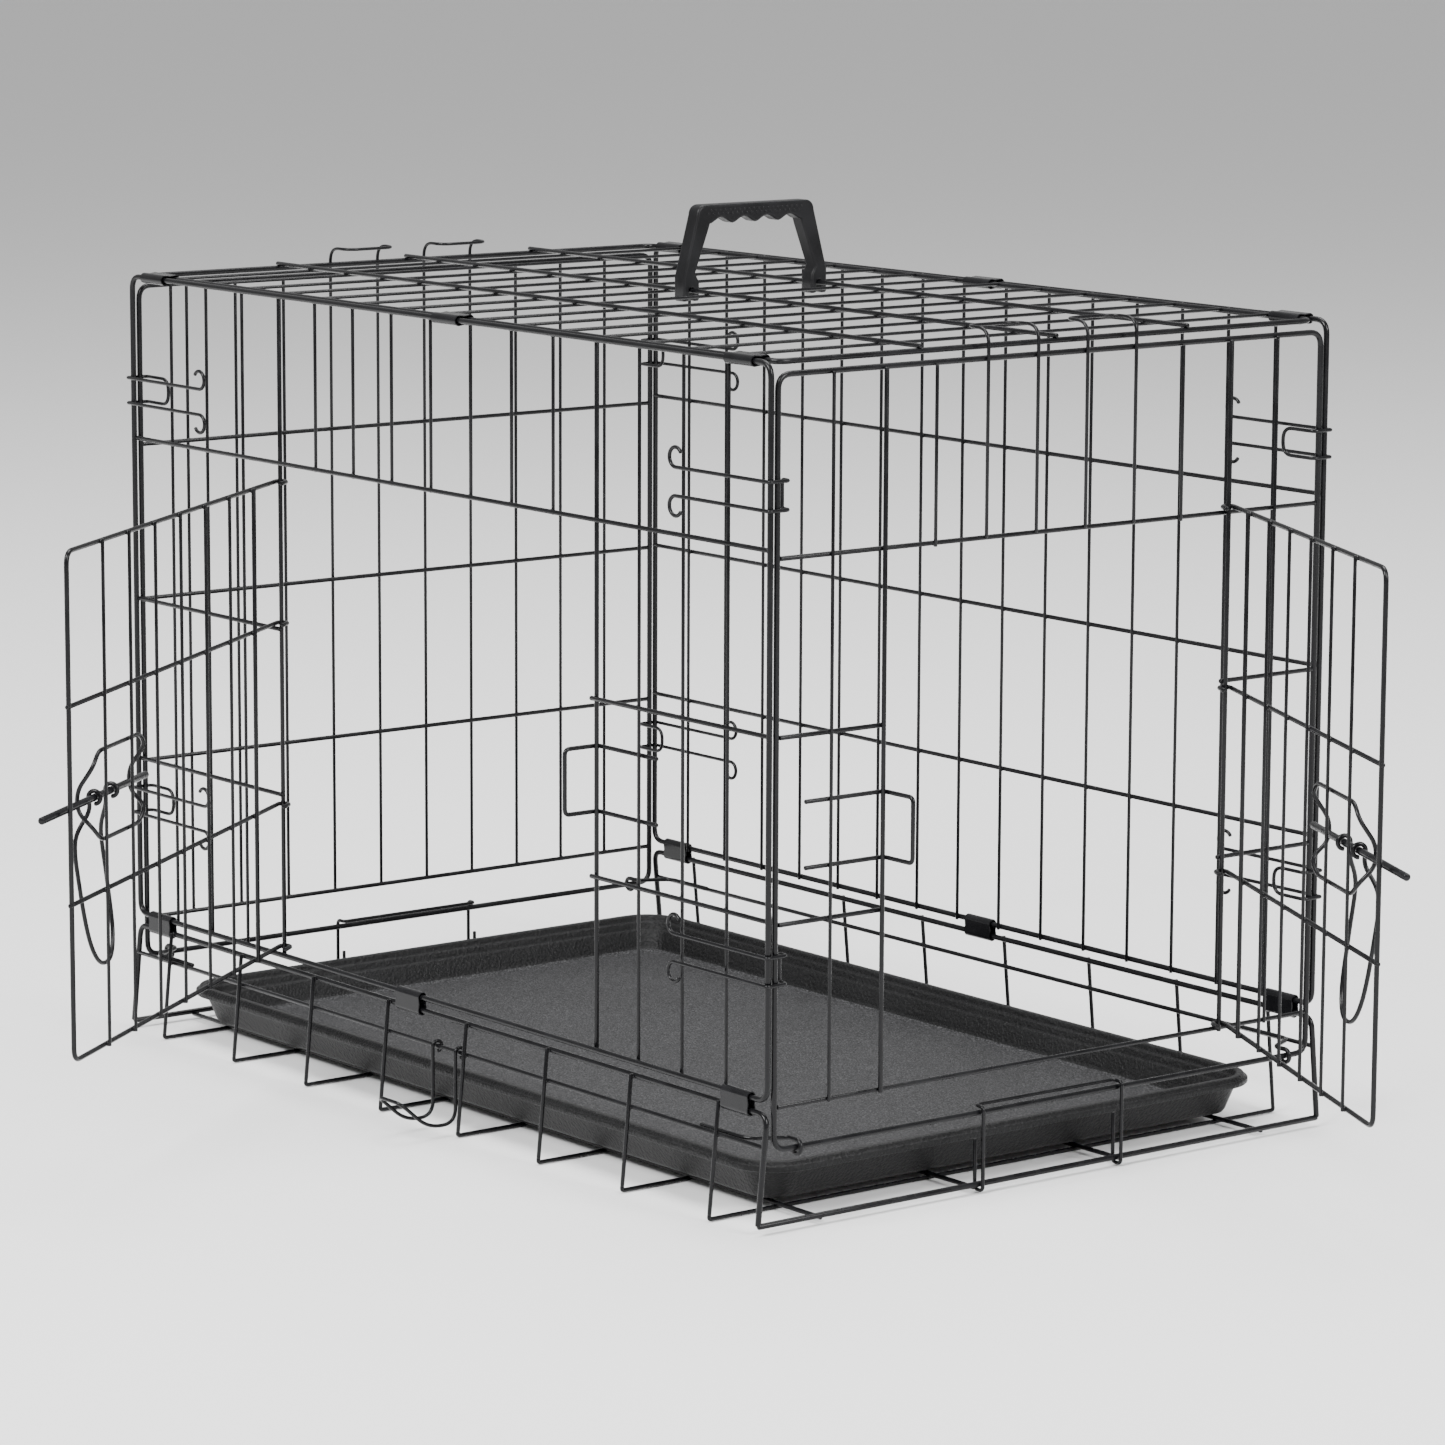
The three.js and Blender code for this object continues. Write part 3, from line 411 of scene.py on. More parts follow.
def front_panel():
    fill_y = -HALF_Y + touching(FRAME_WIRE, FILL_WIRE)
    edge_y = -HALF_Y + half(FRAME_WIRE) + GAP + BAR_WIRE / 2
    rail_y = edge_y - BAR_WIRE / 2 - half(BAR_WIRE) + WELD
    header_y = fill_y - touching(FILL_WIRE, BAR_WIRE)
    short_y = header_y + welded(FILL_WIRE, BAR_WIRE)
    post = HALF_X - half(FRAME_WIRE) - GAP
    bead = Vector((2.0, 1.2, 2.0))

    shape = Shape()
    long_frame(shape, -HALF_Y)
    steel(shape, "front_panel_frame")

    shape = Shape()
    straight(shape, at(-post, header_y, HEADER), at(post, header_y, HEADER), BAR_WIRE)
    inner = range(FRONT_OPENING[0] + 1, FRONT_OPENING[1])
    for i in inner:
        x = upright_x(i)
        straight(shape, at(x, short_y, HEADER - 2.2), at(x, short_y, TOP_RAIL - 1.2), FILL_WIRE)
    weld_rows(shape, map(upright_x, inner), (header_y + short_y) / 2, (HEADER, TOP_RAIL - 0.8), bead)
    steel(shape, "front_panel_header")

    first, last = FRONT_OPENING
    sides = {
        "left": (range(1, first), upright_x(first), -post, upright_x(first) + BAR_WIRE / 2 + 1),
        "right": (range(last + 1, BAYS_LONG), upright_x(last), upright_x(last) - BAR_WIRE / 2 - 1, post),
    }
    for side, (uprights, edge, start, end) in sides.items():
        shape = Shape()
        straight(shape, at(edge, edge_y, LOW_RAIL), at(edge, edge_y, TOP_RAIL), BAR_WIRE)
        for i in uprights:
            x = upright_x(i)
            straight(shape, at(x, fill_y, LOW_RAIL), at(x, fill_y, TOP_RAIL), FILL_WIRE)
        for z in FRONT_RAILS:
            straight(shape, at(start, rail_y, z), at(end, rail_y, z), BAR_WIRE)
        weld_rows(shape, map(upright_x, uprights), (fill_y + rail_y) / 2, FRONT_RAILS, bead)
        weld_rows(shape, map(upright_x, uprights), fill_y - 1.2, (LOW_RAIL, TOP_RAIL), bead)
        steel(shape, f"front_panel_{side}_grille")

    inner_y = edge_y + BAR_WIRE / 2 + GAP + half(CATCH_WIRE)
    loop_x = upright_x(last) - BAR_WIRE / 2 - GAP - half(CATCH_WIRE)
    tail_x = loop_x + CATCH_LENGTH
    low, high, out = FRONT_CATCH["low"], FRONT_CATCH["high"], -HALF_Y - FRONT_CATCH["reach"]
    shape = Shape()
    shape.wire(rounded([
        at(tail_x, inner_y, high), at(loop_x, inner_y, high), at(loop_x, out, high),
        at(loop_x, out, low), at(loop_x, inner_y, low), at(tail_x, inner_y, low),
    ], CATCH_BEND), CATCH_WIRE)
    steel(shape, "front_door_catch")


def rear_panel():
    fill_y = HALF_Y - welded(FRAME_WIRE, FILL_WIRE)
    rail_y = fill_y + welded(FILL_WIRE, BAR_WIRE)
    rails = [LOW_RAIL + i * PANEL_HEIGHT / 4 for i in (1, 2, 3)]
    shape = Shape()
    long_frame(shape, HALF_Y)
    for i in range(1, BAYS_LONG):
        x = upright_x(i)
        straight(shape, at(x, fill_y, LOW_RAIL - 2), at(x, fill_y, TOP_RAIL + 1.6), FILL_WIRE)
    for z in rails:
        straight(shape, at(-HALF_X - 1.5, rail_y, z), at(HALF_X + 1.5, rail_y, z), BAR_WIRE)
    weld_rows(shape, map(upright_x, range(1, BAYS_LONG)), (fill_y + rail_y) / 2, rails, Vector((2, 1.2, 2)))
    steel(shape, "rear_panel")


# ---- end panels ----

def end_frame(shape, x):
    corners = [at(x, -END_HALF_Y, PIVOT), at(x, END_HALF_Y, PIVOT), at(x, END_HALF_Y, END_TOP),
               at(x, -END_HALF_Y, END_TOP)]
    shape.wire(rounded(corners, CORNER, True), FRAME_WIRE, True)


def top_hook(side, first, bottom):
    x = side * (HALF_X + touching(FRAME_WIRE, FILL_WIRE))
    tip = x - side * HOOK_REACH
    top = TOP_RAIL + HOOK_RISE
    y1, y2 = upright_y(first), upright_y(first + 1)
    shape = Shape()
    shape.wire(rounded([at(x, y1, bottom), at(x, y1, top), at(tip, y1, top), at(tip, y2, top), at(x, y2, top),
                        at(x, y2, bottom)], 11, steps=9), FILL_WIRE)
    return shape


def door_end():
    fill_x = HALF_X + touching(FRAME_WIRE, FILL_WIRE)
    edge_x = HALF_X + half(FRAME_WIRE) + GAP + BAR_WIRE / 2
    rail_x = edge_x - BAR_WIRE / 2 - half(BAR_WIRE) + WELD
    header_x = fill_x - touching(FILL_WIRE, BAR_WIRE)
    short_x = header_x + welded(FILL_WIRE, BAR_WIRE)
    post = END_HALF_Y - half(FRAME_WIRE) - GAP
    foot = SILL - half(BAR_WIRE)
    bead = Vector((1.2, 2.0, 2.0))

    shape = Shape()
    end_frame(shape, HALF_X)
    steel(shape, "door_end_frame")
    shape = Shape()
    straight(shape, at(header_x, -post, SILL), at(header_x, post, SILL), BAR_WIRE)
    steel(shape, "door_end_sill")

    first, last = END_OPENING
    shape = Shape()
    straight(shape, at(header_x, -post, END_HEADER), at(header_x, post, END_HEADER), BAR_WIRE)
    for i in (first + 1, last - 1):
        y = upright_y(i)
        top = END_TOP - half(FRAME_WIRE) + 0.6
        straight(shape, at(short_x, y, END_HEADER - 2.2), at(short_x, y, top), FILL_WIRE)
        shape.bead(at((header_x + short_x) / 2, y, END_HEADER), bead)
    steel(shape, "door_end_header")

    sides = {
        "near": (range(1, first), upright_y(first), -post, upright_y(first) + BAR_WIRE / 2 + 1),
        "far": (range(last + 1, BAYS_SHORT), upright_y(last), upright_y(last) - BAR_WIRE / 2 - 1, post),
    }
    for side, (uprights, edge, start, end) in sides.items():
        shape = Shape()
        straight(shape, at(edge_x, edge, foot), at(edge_x, edge, END_TOP), BAR_WIRE)
        for i in uprights:
            straight(shape, at(fill_x, upright_y(i), foot), at(fill_x, upright_y(i), END_TOP), FILL_WIRE)
            for z in END_RAILS:
                shape.bead(at((fill_x + rail_x) / 2, upright_y(i), z), bead)
        for z in END_RAILS:
            straight(shape, at(rail_x, start, z), at(rail_x, end, z), BAR_WIRE)
        steel(shape, f"door_end_{side}_grille")

    for pair, name in zip(HOOK_PAIRS, ("near", "far")):
        steel(top_hook(1, pair, END_HEADER), f"door_end_hook_{name}")

    inner_x = edge_x - BAR_WIRE / 2 - GAP - half(CATCH_WIRE)
    loop_y = upright_y(first) + BAR_WIRE / 2 + GAP + half(CATCH_WIRE)
    tail_y = loop_y - CATCH_LENGTH
    low, high, out = END_CATCH["low"], END_CATCH["high"], HALF_X + END_CATCH["reach"]
    shape = Shape()
    shape.wire(rounded([
        at(inner_x, tail_y, high), at(inner_x, loop_y, high), at(out, loop_y, high),
        at(out, loop_y, low), at(inner_x, loop_y, low), at(inner_x, tail_y, low),
    ], CATCH_BEND), CATCH_WIRE)
    steel(shape, "door_end_catch")


def back_end():
    fill_x = -HALF_X - welded(FRAME_WIRE, FILL_WIRE)
    rail_x = fill_x + welded(FILL_WIRE, BAR_WIRE)
    foot = SILL - half(BAR_WIRE)
    rails = (SILL, *END_RAILS, END_HEADER)
    hooked = [i for pair in HOOK_PAIRS for i in (pair, pair + 1)]
    shape = Shape()
    end_frame(shape, -HALF_X)
    for z in rails:
        straight(shape, at(rail_x, -END_HALF_Y - 1.5, z), at(rail_x, END_HALF_Y + 1.5, z), BAR_WIRE)
    for i in range(1, BAYS_SHORT):
        if i not in hooked:
            y = upright_y(i)
            straight(shape, at(fill_x, y, foot), at(fill_x, y, END_TOP + 1.5), FILL_WIRE)
            for z in rails:
                shape.bead(at((fill_x + rail_x) / 2, y, z), Vector((1.2, 2, 2)))
    steel(shape, "back_end_panel")
    for pair, name in zip(HOOK_PAIRS, ("near", "far")):
        steel(top_hook(-1, pair, foot), f"back_end_hook_{name}")


# ---- top panel and carry handle ----

TOP_WIRE_Z = TOP_RAIL + 0.9
TOP_BAR_Z = TOP_WIRE_Z + welded(FILL_WIRE, BAR_WIRE)


def top_bar_y(i):
    return -TOP_HALF_Y + TOP_HALF_Y * i / 2


def top_panel():
    shape = Shape()
    corners = [at(-TOP_HALF_X, -TOP_HALF_Y, TOP_RAIL), at(TOP_HALF_X, -TOP_HALF_Y, TOP_RAIL),
               at(TOP_HALF_X, TOP_HALF_Y, TOP_RAIL), at(-TOP_HALF_X, TOP_HALF_Y, TOP_RAIL)]
    shape.wire(rounded(corners, CORNER, True), FRAME_WIRE, True)
    for i in range(1, BAYS_LONG):
        x = upright_x(i)
        straight(shape, at(x, -TOP_HALF_Y - 1, TOP_WIRE_Z), at(x, TOP_HALF_Y + 1, TOP_WIRE_Z), FILL_WIRE)
        for k in (1, 2, 3):
            shape.bead(at(x, top_bar_y(k), (TOP_WIRE_Z + TOP_BAR_Z) / 2), Vector((2, 2, 1.2)))
    for k in (1, 2, 3):
        y, end = top_bar_y(k), TOP_HALF_X + 2
        straight(shape, at(-end, y, TOP_BAR_Z), at(end, y, TOP_BAR_Z), BAR_WIRE)
    steel(shape, "top_panel")


def carry_handle():
    """A moulded grip on two feet that clip over neighbouring long bars, with a scallop for each finger."""
    thickness, grip, arm, lean, fingers = 12, 12.5, 10, 10, 4
    top_rise, foot, foot_height, foot_drop = 60, 14, 17, 7.5
    y1, y2 = top_bar_y(2), top_bar_y(3)
    bottom = TOP_BAR_Z - foot_drop
    foot_top = bottom + foot_height
    top = TOP_BAR_Z + top_rise
    under = top - grip
    slot_half = BAR_WIRE / 2 + GAP
    slot_top = TOP_BAR_Z + BAR_WIRE / 2 + GAP
    inner1, inner2 = y1 + lean + arm / 2, y2 - lean - arm / 2
    outer1, outer2 = y1 + lean - arm / 2, y2 - lean + arm / 2

    def foot_outline(y, sign):
        """From the inner top of a foot round its slot to its outer top; `sign` points outwards."""
        return [
            (y - sign * (foot / 2 - 3.4), foot_top + 3), (y - sign * (foot / 2 - 1.5), foot_top - 1),
            (y - sign * foot / 2, foot_top - 3), (y - sign * foot / 2, bottom + 1),
            (y - sign * (foot / 2 - 1), bottom),
            (y - sign * slot_half, bottom), (y - sign * slot_half, slot_top - slot_half / 2),
            (y - sign * slot_half * 0.5, slot_top), (y + sign * slot_half * 0.5, slot_top),
            (y + sign * slot_half, slot_top - slot_half / 2), (y + sign * slot_half, bottom),
            (y + sign * (foot / 2 - 1), bottom), (y + sign * foot / 2, bottom + 1),
            (y + sign * foot / 2, foot_top),
        ]

    outline = foot_outline(y1, -1)[::-1]
    start, end = inner1 + 1.5, inner2 - 1.5
    steps = 12 * fingers
    scallops = []
    for i in range(steps + 1):
        t = i / steps
        dip = 0.5 - 0.5 * math.cos(2 * math.pi * t * fingers)
        scallops.append((start + (end - start) * t, under - 1.2 + 4.2 * dip ** 0.8))
    outline += [(inner1 - 0.2, under - 6)] + scallops + [(inner2 + 0.2, under - 6)]
    outline += foot_outline(y2, 1)
    shoulder = 7
    for k in range(7):
        a = math.radians(90 * k / 6)
        outline.append((outer2 - shoulder + shoulder * math.cos(a), top - shoulder + shoulder * math.sin(a)))
    for k in range(7):
        a = math.radians(90 + 90 * k / 6)
        outline.append((outer1 + shoulder + shoulder * math.cos(a), top - shoulder + shoulder * math.sin(a)))
    shape = Shape()
    x1, x2 = HANDLE_X - thickness / 2, HANDLE_X + thickness / 2
    a = shape.ring([at(x1, y, z) for y, z in outline])
    b = shape.ring([at(x2, y, z) for y, z in outline])
    shape.band(a, b)
    shape.faces.append(tuple(a))
    shape.faces.append(tuple(reversed(b)))
    made = shape.finish("carry_handle_moulding", "carry_handle", "crate", HANDLE, "handle_plastic", sharp=50)
    bevel = made.modifiers.new("edges", "BEVEL")
    bevel.width = 0.0026
    bevel.segments = 4
    bevel.limit_method = "ANGLE"
    bevel.angle_limit = math.radians(60)
    bevel.harden_normals = False

    dots = Shape()
    count = 20
    for i in range(count):
        y = outer1 + 12 + (outer2 - outer1 - 24) * i / (count - 1)
        for x in (x1, x2):
            for z in (top - 3.9, top - 6.5):
                dots.bead(at(x, y + (z - top + 3.9) * 0.8, z), Vector((0.5, 1.0, 1.0)))
    dots.finish("carry_handle_dots", "carry_handle", "crate", HANDLE, "handle_plastic")


# ---- base ----

def side_y(z):
    return HALF_Y + BASE_FLARE * (BASE_RAIL - z) / (BASE_RAIL - END_WIRE)


def leg_y(z):
    return side_y(z) + welded(FRAME_WIRE, LEG_WIRE)


MID_RAIL_Y = leg_y(MID_RAIL) - welded(LEG_WIRE, BAR_WIRE)


def base():
    floor_y = HALF_Y + BASE_FLARE
    leg_z = LEG_WIRE / 2
    long_z = half(LEG_WIRE) + welded(LEG_WIRE, BAR_WIRE)
    leg_turn = leg_y(leg_z)
    shape = Shape()
    for x in (-HALF_X, HALF_X):
        straight(shape, at(x, -floor_y, END_WIRE), at(x, floor_y, END_WIRE), FRAME_WIRE)
    rise = 4.5
    for i in LEG_WIRES:
        x = upright_x(i)
        shape.wire(rounded([at(x, -leg_y(rise), rise), at(x, -leg_turn, leg_z), at(x, leg_turn, leg_z),
                            at(x, leg_y(rise), rise)], 2.4), LEG_WIRE)
    for row in range(4):
        y = (row - 1.5) * FLOOR_ROW
        straight(shape, at(-HALF_X, y, long_z), at(HALF_X, y, long_z), BAR_WIRE)
    steel(shape, "base_floor")

    for side, name in ((-1, "base_front_side"), (1, "base_rear_side")):
        post_foot = END_WIRE + 0.4
        shape = Shape()
        shape.wire(rounded([
            at(-HALF_X, side * side_y(post_foot), post_foot), at(-HALF_X, side * HALF_Y, BASE_RAIL),
            at(HALF_X, side * HALF_Y, BASE_RAIL), at(HALF_X, side * side_y(post_foot), post_foot),
        ], 9), FRAME_WIRE)
        rail_y, rail_end = side * MID_RAIL_Y, HALF_X + 1
        straight(shape, at(-rail_end, rail_y, MID_RAIL), at(rail_end, rail_y, MID_RAIL), BAR_WIRE)
        for i in LEG_WIRES:
            x = upright_x(i)
            z1, z2 = BASE_RAIL + 1.5, 4.2
            straight(shape, at(x, side * leg_y(z1), z1), at(x, side * leg_y(z2), z2), LEG_WIRE)
            shape.bead(at(x, side * (MID_RAIL_Y + 1.3), MID_RAIL), Vector((2, 1.3, 2)))
            shape.bead(at(x, side * (HALF_Y + 1.6), BASE_RAIL), Vector((2, 1.3, 2)))
        steel(shape, name)


# ---- hinge clips, corner clips and pivot arms ----

def hinge_clips():
    """Sheet sleeves rolled round two parallel rails, waisted between them."""
    length, sheet, inset = 28.5, 0.9, 30.5
    inner = half(FRAME_WIRE) * math.sqrt(2) + GAP
    outer = inner + sheet
    edges = {
        "top_front": (-HALF_Y, TOP_RAIL, at(0, 1, 0), BAY_X / 2),
        "top_rear": (HALF_Y, TOP_RAIL, at(0, -1, 0), BAY_X / 2),
        "bottom_front": (-HALF_Y, LOW_RAIL, at(0, 0, -1), -BAY_X / 2),
        "bottom_rear": (HALF_Y, LOW_RAIL, at(0, 0, -1), BAY_X / 2),
    }

    def stadium(radius):
        points = []
        for k in range(13):
            a = math.radians(-90 + 15 * k)
            points.append((HINGE_SPACING + radius * math.cos(a), radius * math.sin(a)))
        points.append((HINGE_SPACING * 0.5, radius - 0.55))
        for k in range(13):
            a = math.radians(90 + 15 * k)
            points.append((radius * math.cos(a), radius * math.sin(a)))
        points.append((HINGE_SPACING * 0.5, -radius + 0.55))
        return points

    for edge, (y, z, across, middle) in edges.items():
        up = at(1, 0, 0).cross(across)
        for spot, x in (("left", -HALF_X + inset), ("middle", middle), ("right", HALF_X - inset)):
            shape = Shape()
            rings = []
            reach, broken = length / 2, 0.35
            ends = [(-reach, broken), (-reach + broken, 0.0), (reach - broken, 0.0), (reach, broken)]
            for along, shrink in ends:
                rings.append(shape.ring([at(x + along, y, z) + across * a + up * b
                                         for a, b in stadium(outer - shrink)]))
            for along, grow in reversed(ends):
                rings.append(shape.ring([at(x + along, y, z) + across * a + up * b
                                         for a, b in stadium(inner + grow * 0.6)]))
            for a, b in zip(rings, rings[1:] + rings[:1]):
                shape.band(a, b)
            node = f"hinge_clip_{edge}_{spot}"
            shape.finish(node + "_sleeve", node, "crate", SHEET_STEEL, "coated_steel")


def corner_clip(bottom, back):
    leg = -HALF_Y - touching(FRAME_WIRE, CLIP_WIRE)
    out_x = HALF_X + touching(FRAME_WIRE, CLIP_WIRE)
    inner_y = -END_HALF_Y + CLIP_INSIDE
    end_x = HALF_X - 2 * BAY_X
    turn_x = out_x - back
    top = bottom + CLIP_GAP

    def curled(z, turn):
        return arc(CLIP_CURL, 30, 270, 16, lambda a, b: at(end_x + a, leg, z + turn * (CLIP_CURL + b)))

    def corner(z):
        return rounded([at(end_x, leg, z), at(out_x, leg, z), at(out_x, inner_y, z)], 1.6, steps=4)[1:-1]

    turn_in = rounded([at(out_x, leg, top), at(out_x, inner_y, top), at(turn_x, inner_y, top)],
                      min(5, back / 2), steps=6)[1:-1]
    hairpin = rounded([turn_in[-1], at(turn_x, inner_y, top), at(turn_x, inner_y, bottom),
                       at(turn_in[-1].x, inner_y, bottom)], 8.6, steps=9)[1:-1]
    turn_out = [at(p.x, p.y, bottom) for p in reversed(turn_in)]
    upper = curled(top, 1) + corner(top)
    lower = curled(bottom, -1) + corner(bottom)
    shape = Shape()
    shape.wire(upper + turn_in + hairpin + turn_out + lower[::-1], CLIP_WIRE)
    return shape


def pivot_arm():
    eye = half(FRAME_WIRE) * math.sqrt(2) + RUNNING + half(BAR_WIRE) * 1.08
    eye_y = -END_HALF_Y + CORNER + 9
    arm_y = -(MID_RAIL_Y - 2 * half(BAR_WIRE) - GAP)
    z = PIVOT + eye
    start = rounded([at(HALF_X - 70, arm_y, z), at(HALF_X - 22, arm_y, z), at(HALF_X - 10, eye_y, z),
                     at(HALF_X, eye_y, z)], 7)
    shape = Shape()
    shape.wire(start + arc(eye, 90, -180, 18, lambda a, b: at(HALF_X + a, eye_y, PIVOT + b))[1:], BAR_WIRE)
    return shape


def corners():
    for end, along_x in (("door_end", 1), ("back_end", -1)):
        for side, along_y in (("front", 1), ("rear", -1)):
            place = Matrix.Diagonal((along_x, along_y, 1, 1))
            back = CLIP_RETURN_NEAR if (end, side) == ("door_end", "front") else CLIP_RETURN
            steel(pivot_arm(), f"pivot_arm_{end}_{side}", place=place)
            for level_name, z in zip(("lower", "upper"), CLIP_HEIGHTS):
                steel(corner_clip(z, back), f"corner_clip_{level_name}_{end}_{side}", place=place)


# ---- doors and slide bolts ----

ROD_OUT = half(DOOR_WIRE) + GAP + RUNNING + ROD_CLEARANCE + BOLT_ROD / 2


def door(name, sizes, free, side, place):
    """Drawn with the hinge axis at x = 0 and y = 0, and the free edge towards +x."""
    plane = side * KNUCKLE
    fill_y = plane - side * welded(DOOR_WIRE, FILL_WIRE)
    edge_y = plane - side * welded(DOOR_WIRE, BAR_WIRE)
    top, bottom = sizes["top"], sizes["bottom"]
    bay = (free - sizes["inset"]) / (sizes["uprights"] + 0.2)

    def knuckle(z):
        hook = arc(KNUCKLE, 90, 270, 12, lambda a, b: at(a, side * b, z))
        return [*hook, at(KNUCKLE_TAIL, -plane, z)]

    shape = Shape()
    bend = rounded([at(free / 2, plane, top), at(free, plane, top), at(free, plane, bottom),
                    at(free / 2, plane, bottom)], 9, steps=8)[1:-1]
    shape.wire(knuckle(top)[::-1] + bend + knuckle(bottom), DOOR_WIRE)
    for z in sizes["rails"]:
        shape.wire([at(free + RAIL_OVERHANG, plane, z), *knuckle(z)], BAR_WIRE)
    for i in range(sizes["uprights"]):
        x = sizes["inset"] + i * bay
        y = fill_y if i else edge_y
        straight(shape, at(x, y, bottom - 1.6), at(x, y, top + 1.6), FILL_WIRE if i else BAR_WIRE)
        for z in (top, bottom, *sizes["rails"]):
            shape.bead(at(x, (y + plane) / 2, z), Vector((2, 1.3, 2)))
    steel(shape, name, name, place)


def keeper(name, sizes, free, side, body, place):
    plane, bolt = side * KNUCKLE, sizes["bolt"]
    flat = plane - side * (welded(DOOR_WIRE, FILL_WIRE) - touching(FILL_WIRE, CATCH_WIRE) - GAP)
    bow = plane + side * (ROD_OUT + BOLT_ROD / 2 + 2 * RUNNING + half(CATCH_WIRE))
    centre, waist, rise = free - KEEPER_BACK, KEEPER_HALF, BOLT_ROD + 2

    def half_loop(turn):
        return [
            at(centre + turn * (waist - 12), flat, bolt - KEEPER_BELOW),
            at(centre + turn * waist, flat, bolt - KEEPER_BELOW + 9),
            at(centre + turn * waist, bow, bolt - rise),
            at(centre + turn * waist, bow, bolt + rise),
            at(centre + turn * waist, flat, bolt + KEEPER_ABOVE - 9),
            at(centre + turn * (waist - 9), flat, bolt + KEEPER_ABOVE),
        ]

    shape = Shape()
    shape.wire(rounded(half_loop(1) + half_loop(-1)[::-1], 7, True, 6), CATCH_WIRE, True)
    steel(shape, name, body, place)


def bolt_pieces(name, sizes, free, side, place):
    plane, bolt = side * KNUCKLE, sizes["bolt"]
    rod_y = plane + side * ROD_OUT
    shape = Shape()
    shape.wire([at(free - ROD_BACK, rod_y, bolt), at(free + ROD_REACH, rod_y, bolt)], BOLT_ROD, sides=24)
    steel(shape, name + "_rod", name, place, ROD_STEEL)

    centre, eye = free - LOOP_BACK, BOLT_ROD / 2 + RUNNING + half(CATCH_WIRE) * 1.1
    # how far each point of a leg stands out from the middle, bows out from the rod and hangs below it
    spots = ((LOOP_EYE, eye, 10), (22, 11, 0.26 * LOOP_DROP), (23, 7.7, 0.55 * LOOP_DROP),
             (20, 2.75, 0.85 * LOOP_DROP), (9, 0, LOOP_DROP))

    def leg(turn):
        turns = arc(eye, 0, -270, 18, lambda a, b: at(centre + turn * LOOP_EYE, rod_y + side * b, bolt - a))
        return turns, [at(centre + turn * out, rod_y + side * bow, bolt - down) for out, bow, down in spots]

    right, left = leg(1), leg(-1)
    free_part = smoothed([right[0][-1], *right[1], *left[1][::-1], left[0][-1]], steps=6)
    shape = Shape()
    shape.wire(right[0][:-1] + free_part + left[0][:-1][::-1], CATCH_WIRE)
    steel(shape, name + "_loop", name + "_loop", place)


def doors():
    edge = half(FRAME_WIRE) + GAP + BAR_WIRE / 2
    front_place = Matrix.Translation((upright_x(FRONT_OPENING[0]), -HALF_Y + edge, 0))
    front_place = front_place @ Matrix.Rotation(-math.radians(FRONT_DOOR["opened"]), 4, "Z")
    end_place = Matrix.Translation((HALF_X + edge, upright_y(END_OPENING[1]), 0))
    end_place = end_place @ Matrix.Rotation(math.radians(END_DOOR["opened"] - 90), 4, "Z")
    front_free = (FRONT_OPENING[1] - FRONT_OPENING[0]) * BAY_X + DOOR_OVERLAP
    end_free = (END_OPENING[1] - END_OPENING[0]) * BAY_Y + DOOR_OVERLAP
    for name, sizes, free, side, place in (
        ("front", FRONT_DOOR, front_free, -1, front_place),
        ("end", END_DOOR, end_free, 1, end_place),
    ):
        door(name + "_door", sizes, free, side, place)
        keeper(name + "_bolt_keeper", sizes, free, side, name + "_door", place)
        bolt_pieces(name + "_bolt", sizes, free, side, place)


# ---- fold hook, tray stops and tray ----

def fold_hook():
    eye = half(BAR_WIRE) * math.sqrt(2) + RUNNING + half(CLIP_WIRE) * 1.08
    leg = -MID_RAIL_Y - eye

    def side(turn):
        x = FOLD_HOOK_X + turn * FOLD_HOOK_HALF
        far = leg - FOLD_HOOK_REACH
        turns = arc(eye, -90, 180, 18, lambda a, b: at(x, -MID_RAIL_Y + a, MID_RAIL + b))
        hook = rounded([
            turns[-1], at(x, leg, FOLD_HOOK_LOW), at(x, (leg + far) / 2, FOLD_HOOK_LOW),
            at(x, far, FOLD_HOOK_TIP), at(FOLD_HOOK_X, far, FOLD_HOOK_TIP),
        ], 12, steps=10)
        return turns[:-1] + hook[:-1]

    shape = Shape()
    shape.wire(side(-1) + side(1)[::-1], CLIP_WIRE)
    steel(shape, "fold_hook", "fold_hook")


def tray_stops():
    wrap = half(FRAME_WIRE) * math.sqrt(2) + RUNNING + half(CLIP_WIRE)
    out, inside, under = HALF_X + wrap, HALF_X - wrap, END_WIRE - wrap
    over = PIVOT + half(FRAME_WIRE) + RUNNING + half(CLIP_WIRE) + 1

    def leg(turn):
        y = turn * (FLOOR_ROW / 2 - touching(BAR_WIRE, CLIP_WIRE) - 1)
        return [at(inside, y, END_WIRE + 30), at(inside, y, under), at(out, y, under), at(out, y, over),
                at(inside, y, over)]

    for node, along_x in (("tray_stop_door_end", 1), ("tray_stop_back_end", -1)):
        shape = Shape()
        shape.wire(rounded(leg(-1) + leg(1)[::-1], 3.6), CLIP_WIRE)
        steel(shape, node, place=Matrix.Diagonal((along_x, 1, 1, 1)))


